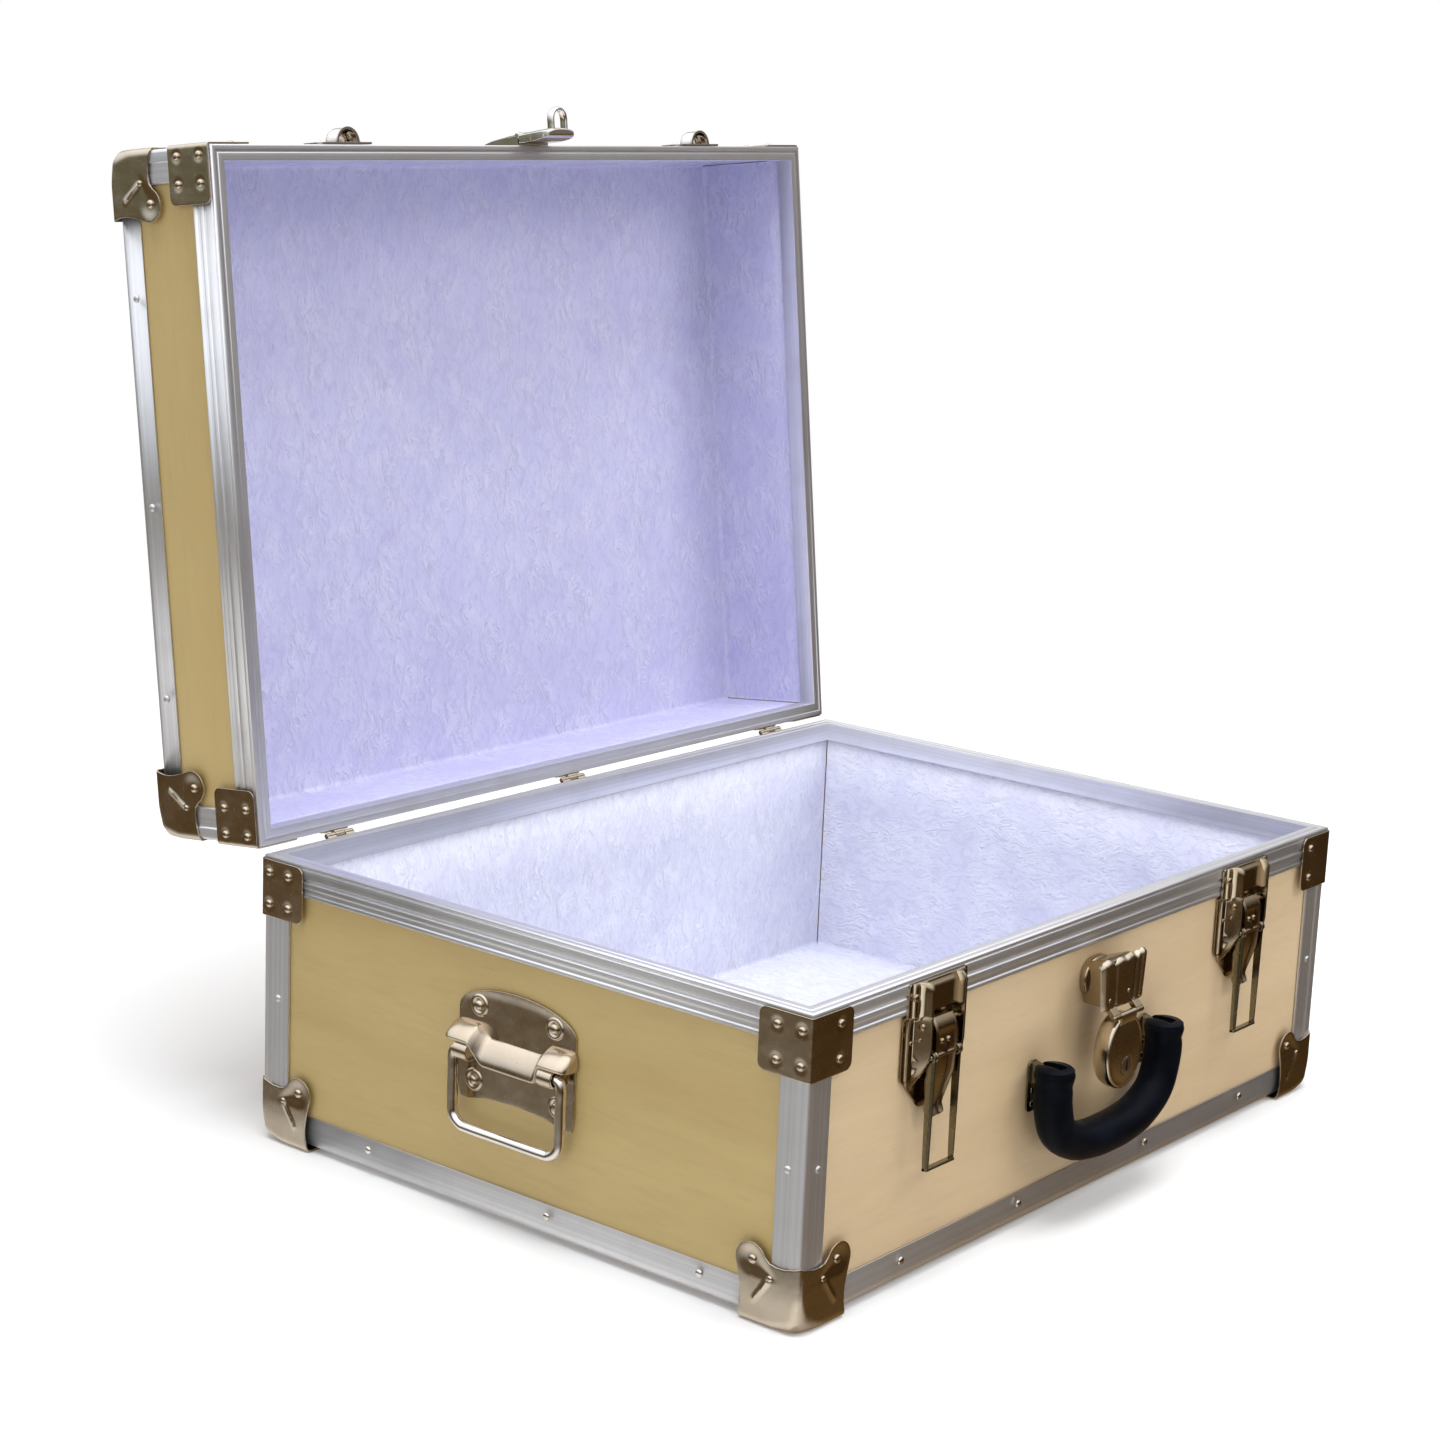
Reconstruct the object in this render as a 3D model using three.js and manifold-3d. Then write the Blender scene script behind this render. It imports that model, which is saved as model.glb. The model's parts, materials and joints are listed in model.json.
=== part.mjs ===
// Hinged trunk case: two plywood half shells edged with aluminium extrusions, pressed nickel
// corners, two draw latches, a centre lock, a carry handle and a chest handle on each side.
// Millimetres, +Z up, front towards -Y. Origin on the ground under the middle of the base.
import * as THREE from 'three';
import { ConvexGeometry } from 'three/addons/geometries/ConvexGeometry.js';
import { mergeVertices } from 'three/addons/utils/BufferGeometryUtils.js';
import Module from 'manifold-3d';

const wasm = await Module();
wasm.setup();

// ---- driving dimensions ----
const WIDTH = 600;
const DEPTH = 449;
const BASE_HEIGHT = 193;
const LID_HEIGHT = 99.7;
const PARTING_GAP = 0.54;
const LID_OPEN_ANGLE = THREE.MathUtils.degToRad(96.5);

const SHEET = 1.2; // pressed nickel sheet
const GAP = 0.3; // fitting gap between neighbouring parts
const LEG_THICKNESS = 3; // aluminium extrusion leg
const PLY = 5; // plywood panel
const LEG_WIDTH = 22; // visible width of every extrusion leg
const EDGE_BOTTOM = SHEET + GAP; // the extrusions lie this far inside the corner sheets
const PANEL_INSET = EDGE_BOTTOM + LEG_THICKNESS + GAP;
const EDGE_TOP = 24; // top of the bottom edging above the ground
const FLOOR_Z = 4.3; // underside of the floor panel
const WALL_Z = 7.3; // the walls' lower edges, clear of the rounded corners
const WEAR_BOARD_Z = 1.8; // underside of the board glued under the floor panel
const WEAR_BOARD_MARGIN = 46; // it stops short of the corners' feet

const HALF_W = WIDTH / 2;
const HALF_D = DEPTH / 2;
const LID_BOTTOM_Z = BASE_HEIGHT + PARTING_GAP;
const LID_TOP_Z = LID_BOTTOM_Z + LID_HEIGHT;
const HINGE_Y = HALF_D + 1.6;
const HINGE_Z = BASE_HEIGHT + PARTING_GAP / 2;
const HINGE_X = [-230, 0, 230];
const LATCH_X = 180;

// ---- materials ----
function material(name, color, roughness, metalness) {
  const result = new THREE.MeshStandardMaterial({ color, roughness, metalness });
  result.name = name;
  return result;
}
const plywood = () => material('birch_plywood', 0xcdb590, 0.55, 0);
const aluminium = () => material('satin_aluminium', 0xb9bbbd, 0.38, 0.9);
const nickel = () => material('nickel_plate', 0x9a8f80, 0.22, 1);
const bright = () => material('bright_nickel', 0xc9c4ba, 0.15, 1);
const blackGrip = () => material('black_grip', 0x0d1016, 0.35, 0);
const pinSteel = () => material('steel_pin', 0x8f8b85, 0.3, 1);

// ---- solids ----
function solid(geometry) {
  const bare = geometry.clone();
  bare.deleteAttribute('normal');
  bare.deleteAttribute('uv');
  const merged = mergeVertices(bare, 1e-4);
  const count = merged.attributes.position.count;
  const index = merged.index ? merged.index.array : [...Array(count).keys()];
  return new wasm.Manifold(new wasm.Mesh({
    numProp: 3,
    vertProperties: new Float32Array(merged.attributes.position.array),
    triVerts: new Uint32Array(index),
  }));
}

function geometryOf(manifold) {
  const mesh = manifold.getMesh();
  const geometry = new THREE.BufferGeometry();
  geometry.setAttribute('position', new THREE.BufferAttribute(new Float32Array(mesh.vertProperties), 3));
  geometry.setIndex(new THREE.BufferAttribute(new Uint32Array(mesh.triVerts), 1));
  const flat = geometry.toNonIndexed();
  flat.computeVertexNormals();
  return flat;
}

const union = (...parts) => parts.reduce((sum, part) => sum.add(part));

function block(x0, x1, y0, y1, z0, z1) {
  const geometry = new THREE.BoxGeometry(x1 - x0, y1 - y0, z1 - z0);
  geometry.translate((x0 + x1) / 2, (y0 + y1) / 2, (z0 + z1) / 2);
  return solid(geometry);
}

function prism(points, depth) {
  const shape = new THREE.Shape(points.map(([a, b]) => new THREE.Vector2(a, b)));
  return new THREE.ExtrudeGeometry(shape, { depth, bevelEnabled: false, steps: 1 });
}

const X = new THREE.Vector3(1, 0, 0);
const Y = new THREE.Vector3(0, 1, 0);
const Z = new THREE.Vector3(0, 0, 1);
const turned = (geometry, x, y, z) => geometry.applyMatrix4(new THREE.Matrix4().makeBasis(x, y, z));

// A polygon in (y, z) extruded from x0 to x1.
function alongX(points, x0, x1) {
  return solid(turned(prism(points, x1 - x0), Y, Z, X).translate(x0, 0, 0));
}

// A polygon in (x, z) extruded from y0 up to y1.
function alongY(points, y0, y1) {
  return solid(turned(prism(points, y1 - y0), X, Z, Y.clone().negate()).translate(0, y1, 0));
}

// A polygon in (x, y) extruded from z0 to z1.
function alongZ(points, z0, z1) {
  return solid(prism(points, z1 - z0).translate(0, 0, z0));
}

// Hardware is drawn on a panel facing -Y: s is the stand-off from the panel's outer face.
const sideways = (points, x0, x1) => alongX(points.map(([s, z]) => [-s, z]), x0, x1);
const faceOn = (points, s0, s1) => alongY(points, -s1, -s0);

function cylinderX(x0, x1, y, z, radius, sides = 10) {
  const geometry = new THREE.CylinderGeometry(radius, radius, x1 - x0, sides);
  geometry.rotateZ(Math.PI / 2).translate((x0 + x1) / 2, y, z);
  return solid(geometry);
}

// A domed rivet head whose base is sunk a little into the sheet it holds.
const RIVET_SINK = 0.4;
function rivet(radius, height) {
  const geometry = new THREE.CylinderGeometry(radius * 0.5, radius, height + RIVET_SINK, 6);
  return geometry.translate(0, (height - RIVET_SINK) / 2, 0);
}
const rivetFront = (x, s, z, radius = 2.6, height = 1.3) => (
  solid(rivet(radius, height).rotateX(Math.PI).translate(x, -s, z))
);
const rivetLeft = (x, y, z, radius = 2.6, height = 1.3) => (
  solid(rivet(radius, height).rotateZ(Math.PI / 2).translate(x, y, z))
);

function roundedRectangle(a0, a1, b0, b1, radius, steps = 3) {
  const points = [];
  const corners = [
    [a1 - radius, b0 + radius, -90],
    [a1 - radius, b1 - radius, 0],
    [a0 + radius, b1 - radius, 90],
    [a0 + radius, b0 + radius, 180],
  ];
  for (const [ca, cb, start] of corners) {
    points.push(...arc(ca, cb, radius, start, start + 90, steps));
  }
  return points;
}

function arc(ca, cb, radius, from, to, steps) {
  const points = [];
  for (let i = 0; i <= steps; i += 1) {
    const angle = THREE.MathUtils.degToRad(from + ((to - from) * i) / steps);
    points.push([ca + radius * Math.cos(angle), cb + radius * Math.sin(angle)]);
  }
  return points;
}

// A closed profile of (distance inwards, z) points, listed clockwise, run round a rectangle
// with mitred corners.
function mitredRing(profile, halfX, halfY) {
  const signs = [[-1, -1], [1, -1], [1, 1], [-1, 1]];
  const count = profile.length;
  const positions = [];
  const index = [];
  for (const [sx, sy] of signs) {
    for (const [off, z] of profile) {
      positions.push(sx * (halfX - off), sy * (halfY - off), z);
    }
  }
  for (let side = 0; side < signs.length; side += 1) {
    const next = (side + 1) % signs.length;
    for (let i = 0; i < count; i += 1) {
      const j = (i + 1) % count;
      const a = side * count + i;
      const b = next * count + i;
      const c = next * count + j;
      const d = side * count + j;
      index.push(a, b, c, a, c, d);
    }
  }
  const geometry = new THREE.BufferGeometry();
  geometry.setAttribute('position', new THREE.Float32BufferAttribute(positions, 3));
  geometry.setIndex(index);
  return solid(geometry);
}

const GROOVE = 0.8;
const groove = (z) => [[0, z - GROOVE], [GROOVE, z], [0, z + GROOVE]];

// ---- pressed three-way corner, drawn in the octant x, y, z > 0 from its own outer corner ----
const BALL_RADIUS = 10;
const FOLD_RADIUS = 3;
const BALL_REACH = 24; // where the ball has blended into the plain fold
const CORNER_FOOT = 44; // reach of the corner's flat foot
const EAR_CENTRE = [36.2, 38];
const EAR_RADIUS = 11;
const CORNER_DEPTH = 14;

function cornerHull(inset, reach) {
  const points = [];
  const quarter = [0, 45, 90].map((deg) => THREE.MathUtils.degToRad(deg));
  const ball = BALL_RADIUS - inset;
  for (const a of quarter) {
    for (const b of quarter) {
      points.push(new THREE.Vector3(
        BALL_RADIUS - ball * Math.cos(b) * Math.cos(a),
        BALL_RADIUS - ball * Math.cos(b) * Math.sin(a),
        BALL_RADIUS - ball * Math.sin(b),
      ));
    }
    const p = FOLD_RADIUS - (FOLD_RADIUS - inset) * Math.cos(a);
    const q = FOLD_RADIUS - (FOLD_RADIUS - inset) * Math.sin(a);
    for (const t of [BALL_REACH, reach]) {
      points.push(new THREE.Vector3(t, p, q), new THREE.Vector3(q, t, p), new THREE.Vector3(p, q, t));
    }
  }
  points.push(new THREE.Vector3(reach, reach, inset), new THREE.Vector3(reach, inset, reach));
  points.push(new THREE.Vector3(inset, reach, reach), new THREE.Vector3(reach, reach, reach));
  return solid(new ConvexGeometry(points));
}

function cornerPiece() {
  const shell = cornerHull(0, 60).subtract(cornerHull(SHEET, 70));
  const ear = [
    [-1, -1], [CORNER_FOOT - 0.5, -1], [CORNER_FOOT + 0.5, 8], [CORNER_FOOT + 1.5, 20], [47, 32],
    ...arc(...EAR_CENTRE, EAR_RADIUS, 0, 160, 5),
    [22, 39.8], [14, 40.2], [6, 41.6], [-1, 42],
  ];
  const faces = union(
    alongX(ear, -1, CORNER_DEPTH),
    alongY(ear, -1, CORNER_DEPTH),
    alongZ(roundedRectangle(-20, CORNER_FOOT, -20, CORNER_FOOT, 8), -1, CORNER_DEPTH),
  );
  const rivets = [[35, 39, 2.8], [22, 30.5, 1.9]].flatMap(([u, v, radius]) => [
    rivetLeft(0, u, v, radius),
    rivetFront(u, 0, v, radius),
  ]);
  return union(shell.intersect(faces), ...rivets);
}

// Rim bracket: two 38 mm legs folded round a rim corner; the side leg holds four rivets.
const BRACKET_LEG = 38;
const BRACKET_DROP = 2.4; // the rim's lip stands this much past the bracket
const BRACKET_RIVETS_V = [8.5, 29.5];

function rimBracket(sideLegOnX) {
  const leg = roundedRectangle(-20, BRACKET_LEG, 0, BRACKET_LEG, 5, 2);
  const both = union(alongX(leg, 0, SHEET), alongY(leg, 0, SHEET)).intersect(
    block(0, BRACKET_LEG, 0, BRACKET_LEG, 0, BRACKET_LEG),
  );
  const onX = sideLegOnX ? [7.5, 25] : [27];
  const onY = sideLegOnX ? [27] : [7.5, 25];
  const rivets = BRACKET_RIVETS_V.flatMap((v) => [
    ...onX.map((u) => rivetLeft(0, u, v)),
    ...onY.map((u) => rivetFront(u, 0, v)),
  ]);
  return union(both, ...rivets);
}

// Corner post in plan: two legs with a raised band beside the bevelled corner.
const POST_PLAN = [
  [2.5, 0], [8, 0], [8.8, 0.8], [21.2, 0.8], [LEG_WIDTH, 1.6], [LEG_WIDTH, LEG_THICKNESS],
  [LEG_THICKNESS, LEG_THICKNESS], [LEG_THICKNESS, LEG_WIDTH], [1.6, LEG_WIDTH], [0.8, 21.2],
  [0.8, 8.8], [0, 8], [0, 2.5],
];

function post(z0, z1, rivetZ) {
  return union(
    alongZ(POST_PLAN, z0, z1),
    rivetLeft(0.8, 13, rivetZ, 2.4),
    rivetFront(13, -0.8, rivetZ, 2.4),
  );
}

// ---- one half shell, open side up, its outer bottom on z = 0 ----
const QUARTERS = [0, 1, 2, 3];
const cornerSigns = [[-1, -1], [1, -1], [1, 1], [-1, 1]];
const POST_OFF = HALF_W - EDGE_BOTTOM;
const POST_OFF_Y = HALF_D - EDGE_BOTTOM;
const RIM_LEG_INSIDE = 14; // how far the rim's inner leg reaches down the lining
const EDGE_GROOVES_Z = [12.5, 7];
const RIM_GROOVES_DROP = [17, 10.5]; // grooves below the rim's top
const EDGE_RIVET_Z = 17.5;
const EDGE_RIVETS_FRONT = [-200, -75, 75, 200];

function add(group, name, manifold, paint, position = [0, 0, 0], turn = 0) {
  const mesh = new THREE.Mesh(geometryOf(manifold), paint);
  mesh.name = name;
  mesh.position.set(...position);
  mesh.rotation.z = turn;
  group.add(mesh);
  return mesh;
}

function edgeRing(sideRivets) {
  const profile = [
    [2.5, EDGE_BOTTOM], [LEG_WIDTH, EDGE_BOTTOM], [LEG_WIDTH, FLOOR_Z - GAP],
    [LEG_THICKNESS, FLOOR_Z - GAP], [LEG_THICKNESS, EDGE_TOP], [0.9, EDGE_TOP],
    ...EDGE_GROOVES_Z.flatMap((z) => groove(z).reverse()),
    [0, EDGE_BOTTOM + 2.5],
  ];
  let ring = mitredRing(profile.reverse(), POST_OFF, POST_OFF_Y);
  const outside = block(-5, 30, -5, 30, -5, 30).subtract(cornerHull(EDGE_BOTTOM, 70));
  for (const q of QUARTERS) {
    const cut = outside.rotate([0, 0, 90 * q]);
    const [sx, sy] = cornerSigns[q];
    ring = ring.subtract(cut.translate([sx * HALF_W, sy * HALF_D, 0]));
  }
  return union(ring, ...edgeRivets(sideRivets));
}

function edgeRivets(sideRivets) {
  return [0, 180].flatMap((turn) => [
    ...EDGE_RIVETS_FRONT.map((x) => rivetFront(x, POST_OFF_Y, EDGE_RIVET_Z)),
    ...sideRivets.map((y) => rivetLeft(-POST_OFF, turn ? -y : y, EDGE_RIVET_Z)),
  ].map((head) => head.rotate([0, 0, turn])));
}

function rimRing(height) {
  const inner = PANEL_INSET - EDGE_BOTTOM + PLY + GAP;
  const profile = [
    [0, height - 3.6], [0.7, height - 3], [0, height - 2.4], [0, height - 0.8], [0.8, height],
    [inner + 1.5, height], [inner + 1.5, height - RIM_LEG_INSIDE], [inner, height - RIM_LEG_INSIDE],
    [inner, height - 2], [LEG_THICKNESS, height - 2], [LEG_THICKNESS, height - LEG_WIDTH],
    [0.9, height - LEG_WIDTH], [0, height - LEG_WIDTH + 0.9],
    ...RIM_GROOVES_DROP.flatMap((drop) => groove(height - drop)),
  ];
  return mitredRing(profile, POST_OFF, POST_OFF_Y);
}

function addPanels(group, prefix, height, names) {
  const px = HALF_W - PANEL_INSET;
  const py = HALF_D - PANEL_INSET;
  const top = height - 2 - GAP;
  const ix = px - PLY - GAP;
  const iy = py - PLY - GAP;
  let floor = block(-ix, ix, -iy, iy, FLOOR_Z, FLOOR_Z + PLY);
  if (names.wearBoard) {
    const wx = HALF_W - WEAR_BOARD_MARGIN;
    const wy = HALF_D - WEAR_BOARD_MARGIN;
    floor = floor.add(block(-wx, wx, -wy, wy, WEAR_BOARD_Z, FLOOR_Z + 1));
  }
  add(group, `${prefix}_${names.floor}`, floor, plywood());
  add(group, `${prefix}_wall_left`, block(-px, -px + PLY, -iy, iy, WALL_Z, top), plywood());
  add(group, `${prefix}_wall_right`, block(px - PLY, px, -iy, iy, WALL_Z, top), plywood());
  add(group, `${prefix}_wall_${names.near}`, block(-px, px, -py, -py + PLY, WALL_Z, top), plywood());
  add(group, `${prefix}_wall_${names.far}`, block(-px, px, py - PLY, py, WALL_Z, top), plywood());
}

function addShell(group, prefix, height, names) {
  addPanels(group, prefix, height, names);
  add(group, `${prefix}_rim`, rimRing(height), aluminium());
  const postTop = height - LEG_WIDTH - GAP;
  for (const q of QUARTERS) {
    const [sx, sy] = cornerSigns[q];
    const turn = (q * Math.PI) / 2;
    const label = `${prefix}_${names.corners[q]}`;
    const at = [sx * HALF_W, sy * HALF_D, 0];
    add(group, `${label}_corner`, cornerPiece(), nickel(), at, turn);
    const bracketAt = [at[0], at[1], height - BRACKET_DROP - BRACKET_LEG];
    add(group, `${label}_bracket`, rimBracket(q % 2 === 0), nickel(), bracketAt, turn);
    if (names.separatePosts) {
      const postAt = [sx * POST_OFF, sy * POST_OFF_Y, 0];
      add(group, `${label}_post`, post(EDGE_TOP + GAP, postTop, 98), aluminium(), postAt, turn);
    }
  }
  const ring = edgeRing(names.sideRivets);
  const edging = names.separatePosts ? ring : withPosts(ring, postTop);
  add(group, `${prefix}_edging`, edging, aluminium());
}

// The lid's short posts are made in one piece with its edging.
function withPosts(ring, postTop) {
  const posts = QUARTERS.map((q) => {
    const [sx, sy] = cornerSigns[q];
    const upright = alongZ(POST_PLAN, EDGE_TOP - 2, postTop).rotate([0, 0, 90 * q]);
    return upright.translate([sx * POST_OFF, sy * POST_OFF_Y, 0]);
  });
  return union(ring, ...posts);
}

// ---- hardware ----
const RIM_FACE = LEG_THICKNESS + GAP; // stand-off of the rim's outer face from the panel
const ON_RIM = RIM_FACE + GAP;
const LATCH_TOP = BASE_HEIGHT - 3;
const LEVER_PIN = { s: 8, z: 163 };
const BAIL_PIN = { s: 12, z: 144 };
const BAIL_DROP = 70; // bail pivot to the outside of its bar
const RAIL_INSIDE = 15.5;

function latchPlate() {
  const joggle = sideways([
    [ON_RIM, LATCH_TOP], [ON_RIM, 170.6], [GAP, 168.9], [GAP, 110], [1.8, 110], [1.8, 167.5],
    [5.1, 169.6], [5.1, LATCH_TOP],
  ], -29, 29);
  const outline = faceOn([
    [-27, LATCH_TOP], [-29, LATCH_TOP - 2], [-29, 131], [-9, 110], [9, 110], [29, 131],
    [29, LATCH_TOP - 2], [27, LATCH_TOP],
  ], 0, 20);
  const railSide = [
    [1.5, 128], [6, 131], [12.5, 142], [13.5, 150], [13.5, 186], [11.5, 189.5], [4.8, 189.5],
    [4.8, 170], [1.5, 167],
  ];
  const cover = sideways([[4.8, 170.6], [10.6, 170.6], [10.6, 185], [9, 188.5], [4.8, 188.5]], -11.5, 11.5);
  const pinHeads = [-1, 1].map((side) => {
    const x0 = side < 0 ? -RAIL_INSIDE - 3.2 : RAIL_INSIDE + 1.5;
    return cylinderX(x0, x0 + 1.7, -LEVER_PIN.s, LEVER_PIN.z, 2.4, 8);
  });
  return union(
    joggle.intersect(outline),
    sideways(railSide, -RAIL_INSIDE - 2, -RAIL_INSIDE),
    sideways(railSide, RAIL_INSIDE, RAIL_INSIDE + 2),
    cover,
    ...pinHeads,
    rivetFront(-23.5, 5.1, 181.5, 2.4),
    rivetFront(23.5, 5.1, 181.5, 2.4),
  );
}

function latchLever() {
  const side = sideways([
    [5.4, 163], [6.6, 166.8], [10.2, 166.4], [13, 160], [13.8, 146], [12.8, 132], [8.8, 117],
    [6.8, 110], [8.6, 105.5], [7.4, 104.4], [4.6, 109.5], [5, 117], [7.6, 132], [8, 146],
  ], -10.5, 10.5);
  const outline = faceOn([
    [-10.5, 168], [-10.5, 130], [-8.5, 115], [-8.5, 107], [-6, 104], [6, 104], [8.5, 107],
    [8.5, 115], [10.5, 130], [10.5, 168],
  ], 0, 20);
  return union(
    side.intersect(outline),
    cylinderX(-RAIL_INSIDE + GAP, RAIL_INSIDE - GAP, -LEVER_PIN.s, LEVER_PIN.z, 1.6, 8),
    cylinderX(-15, 15, -BAIL_PIN.s, BAIL_PIN.z, 1.4, 8),
  );
}

// A flat U-shaped strip whose eyes turn on the lever's cross pin.
function latchBail() {
  const LEG_IN = 12.25;
  const LEG_OUT = 14.25;
  const bottom = BAIL_PIN.z - BAIL_DROP;
  const leg = (x0, x1) => union(
    block(x0, x1, -BAIL_PIN.s - 2.25, -BAIL_PIN.s + 2.25, bottom, BAIL_PIN.z),
    cylinderX(x0, x1, -BAIL_PIN.s, BAIL_PIN.z, 3.2, 10),
  );
  const bar = block(-LEG_OUT, LEG_OUT, -BAIL_PIN.s - 2.25, -BAIL_PIN.s + 2.25, bottom, bottom + 2.4);
  return union(leg(-LEG_OUT, -LEG_IN), leg(LEG_IN, LEG_OUT), bar).subtract(
    cylinderX(-20, 20, -BAIL_PIN.s, BAIL_PIN.z, 1.8, 8),
  );
}

// The lid's strike: a half barrel, open towards the rim, that the bail's bar drops behind.
function latchKeeper() {
  const z0 = LID_BOTTOM_Z + 0.9;
  const arch = (half, rise, foot) => [
    [-half, -foot],
    ...arc(0, 0, 1, 180, 0, 8).map(([a, b]) => [half * a, -6.5 - rise * b]),
    [half, -foot],
  ];
  const flange = faceOn(roundedRectangle(-24, 24, z0, z0 + 20, 4, 2), ON_RIM, 4.9);
  const barrel = alongZ(arch(11, 8.6, 4.5), z0, z0 + 16.6).subtract(
    alongZ(arch(9.6, 7.3, 4.9), z0 - 1, z0 + 15),
  );
  return union(
    flange,
    barrel,
    rivetFront(-18, 4.9, z0 + 10, 2.4),
    rivetFront(18, 4.9, z0 + 10, 2.4),
  );
}

const LOCK_PIN = { s: 27.2, z: 130 };
const LOCK_FACE = { back: 20.9, front: 24.1 };

function lockCase() {
  const backPlate = faceOn([
    [-23, 160], [-25, 152], [-25, 142], [-20, 133], [20, 133], [25, 142], [25, 152], [23, 160],
    [17, 163], [-17, 163],
  ], GAP, 1.8);
  const body = sideways([[1.6, 134], [1.6, 161], [14, 166.5], [23.9, 167], [23.9, 135], [14, 134]], -20, 20);
  const face = faceOn([
    [-23, 134.5], [-26, 164], [-23, 167.5], [23, 167.5], [26, 164], [23, 134.5],
  ], LOCK_FACE.back, LOCK_FACE.front);
  const ribs = [-13, 4, 15].map((x) => (
    faceOn([[x, 138], [x, 165], [x + 4, 165], [x + 4, 138]], LOCK_FACE.front - 0.2, LOCK_FACE.front + 0.4)
  ));
  const knuckle = (x0, x1) => union(
    cylinderX(x0, x1, -LOCK_PIN.s, LOCK_PIN.z, 2.2),
    sideways([[21.4, 134], [23.7, 136], [28.4, 131.6], [25.1, 129]], x0, x1),
  );
  return union(backPlate, body, face, ...ribs, knuckle(-17, -9.4), knuckle(9.4, 17));
}

const DRUM = { width: 20.5, height: 25, z: 105.2, back: 15, front: 29.5 };
const PLUG = { z: 96, radius: 6 };

// The oval drum hangs from the case's cross pin, lifts by hand and holds the key plug.
function lockDrum() {
  const oval = (scale, steps) => arc(0, 0, 1, 0, 360 - 360 / steps, steps - 1)
    .map(([a, b]) => [a * DRUM.width * scale, DRUM.z + b * DRUM.height * scale]);
  const drum = union(
    faceOn(oval(1, 24), DRUM.back + 2, DRUM.front - 2.6),
    faceOn(oval(0.95, 24), DRUM.back, DRUM.front - 1),
    faceOn(oval(0.84, 24), DRUM.back + 1, DRUM.front),
  );
  const neck = sideways([[21.9, 124], [22.4, 129], [25.1, 131.6], [28.9, 131.2], [29.1, 124]], -8.8, 8.8);
  const bore = solid(new THREE.CylinderGeometry(PLUG.radius + GAP, PLUG.radius + GAP, 6.4, 16)
    .translate(0, -DRUM.front + 2.4, PLUG.z));
  return union(drum, neck).subtract(bore);
}

function lockPlug() {
  const plug = solid(new THREE.CylinderGeometry(PLUG.radius, PLUG.radius, 4.8, 16));
  const keyway = block(-0.9, 0.9, -4, -0.6, -3.2, 3.2);
  return plug.subtract(keyway);
}

// The hasp's fixed leaf steps from the lid's panel over its rim.
const HASP_HALF = 15.5;
const HASP_AXIS = { s: 12.6, z: LID_BOTTOM_Z + 3.6 };

function haspLeaf() {
  const z0 = LID_BOTTOM_Z + 4;
  const panelStep = LID_BOTTOM_Z + LEG_WIDTH;
  const side = sideways([
    [ON_RIM, z0], [ON_RIM, panelStep + 0.6], [GAP, panelStep + 2.4], [GAP, 251], [1.6, 251],
    [5.6, 240], [9, 226], [11, 210], [12.2, z0],
  ], -HASP_HALF, HASP_HALF);
  const outline = faceOn([
    [-HASP_HALF, z0 - 1], [-HASP_HALF, 226], [-13, 238], [-7, 248], [0, 251.5], [7, 248], [13, 238],
    [HASP_HALF, 226], [HASP_HALF, z0 - 1],
  ], -1, 20);
  return side.intersect(outline);
}

const STAPLE_Z = 173.5;
const STAPLE_HALF = 8.2;

// The flap reaches down to the lock case and carries the arched staple.
function haspFlap() {
  const top = LID_BOTTOM_Z + 3.6;
  const side = sideways([
    [5, top], [12.2, top], [13.9, 178], [13.9, 170.5], [12.5, 169.6], [8.4, 169.6], [7.4, 172], [5, 184],
  ], -HASP_HALF, HASP_HALF);
  const outline = faceOn([
    [-HASP_HALF, top + 1], [-HASP_HALF, 174], [-12, 169], [12, 169], [HASP_HALF, 174], [HASP_HALF, top + 1],
  ], 0, 20);
  const archPoints = (half, tip) => [
    [-half, -12], ...arc(0, -tip, half, 180, 360, 8), [half, -12],
  ];
  const outer = archPoints(STAPLE_HALF, 20.4);
  const inner = archPoints(STAPLE_HALF - 3.2, 20.4);
  const staple = alongZ(outer, STAPLE_Z - 1.6, STAPLE_Z + 1.6).subtract(
    alongZ(inner, STAPLE_Z - 3, STAPLE_Z + 3).intersect(block(-9, 9, -40, -13.9, 150, 190)),
  );
  return union(side.intersect(outline), staple);
}

const GRIP = { radius: 13, s: 17, halfSpan: 65, pivotZ: 101, bottomZ: 49 };

function carryGrip() {
  const { halfSpan, bottomZ } = GRIP;
  const curve = new THREE.CatmullRomCurve3([
    [-halfSpan, 109], [-halfSpan, 100], [-halfSpan, 84], [-57, 64.5], [-38, 52.5], [-18, bottomZ],
    [0, bottomZ - 0.5], [18, bottomZ], [38, 52.5], [57, 64.5], [halfSpan, 84], [halfSpan, 100],
    [halfSpan, 109],
  ].map(([x, z]) => new THREE.Vector3(x, -GRIP.s, z)), false, 'centripetal');
  const round = new THREE.Shape(arc(0, 0, GRIP.radius, 0, 330, 11).map(([a, b]) => new THREE.Vector2(a, b)));
  const sweep = { extrudePath: curve, steps: 22, bevelEnabled: false };
  const tube = solid(new THREE.ExtrudeGeometry(round, sweep));
  const slots = [-1, 1].map((side) => (
    block(side * halfSpan - 4, side * halfSpan + 4, -40, 0, GRIP.pivotZ - 12, 120)
      .add(cylinderX(side * halfSpan - 9.6, side * halfSpan + 9.6, -GRIP.s, GRIP.pivotZ, 2.4, 8))
  ));
  return tube.subtract(slots[0]).subtract(slots[1]);
}

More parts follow.
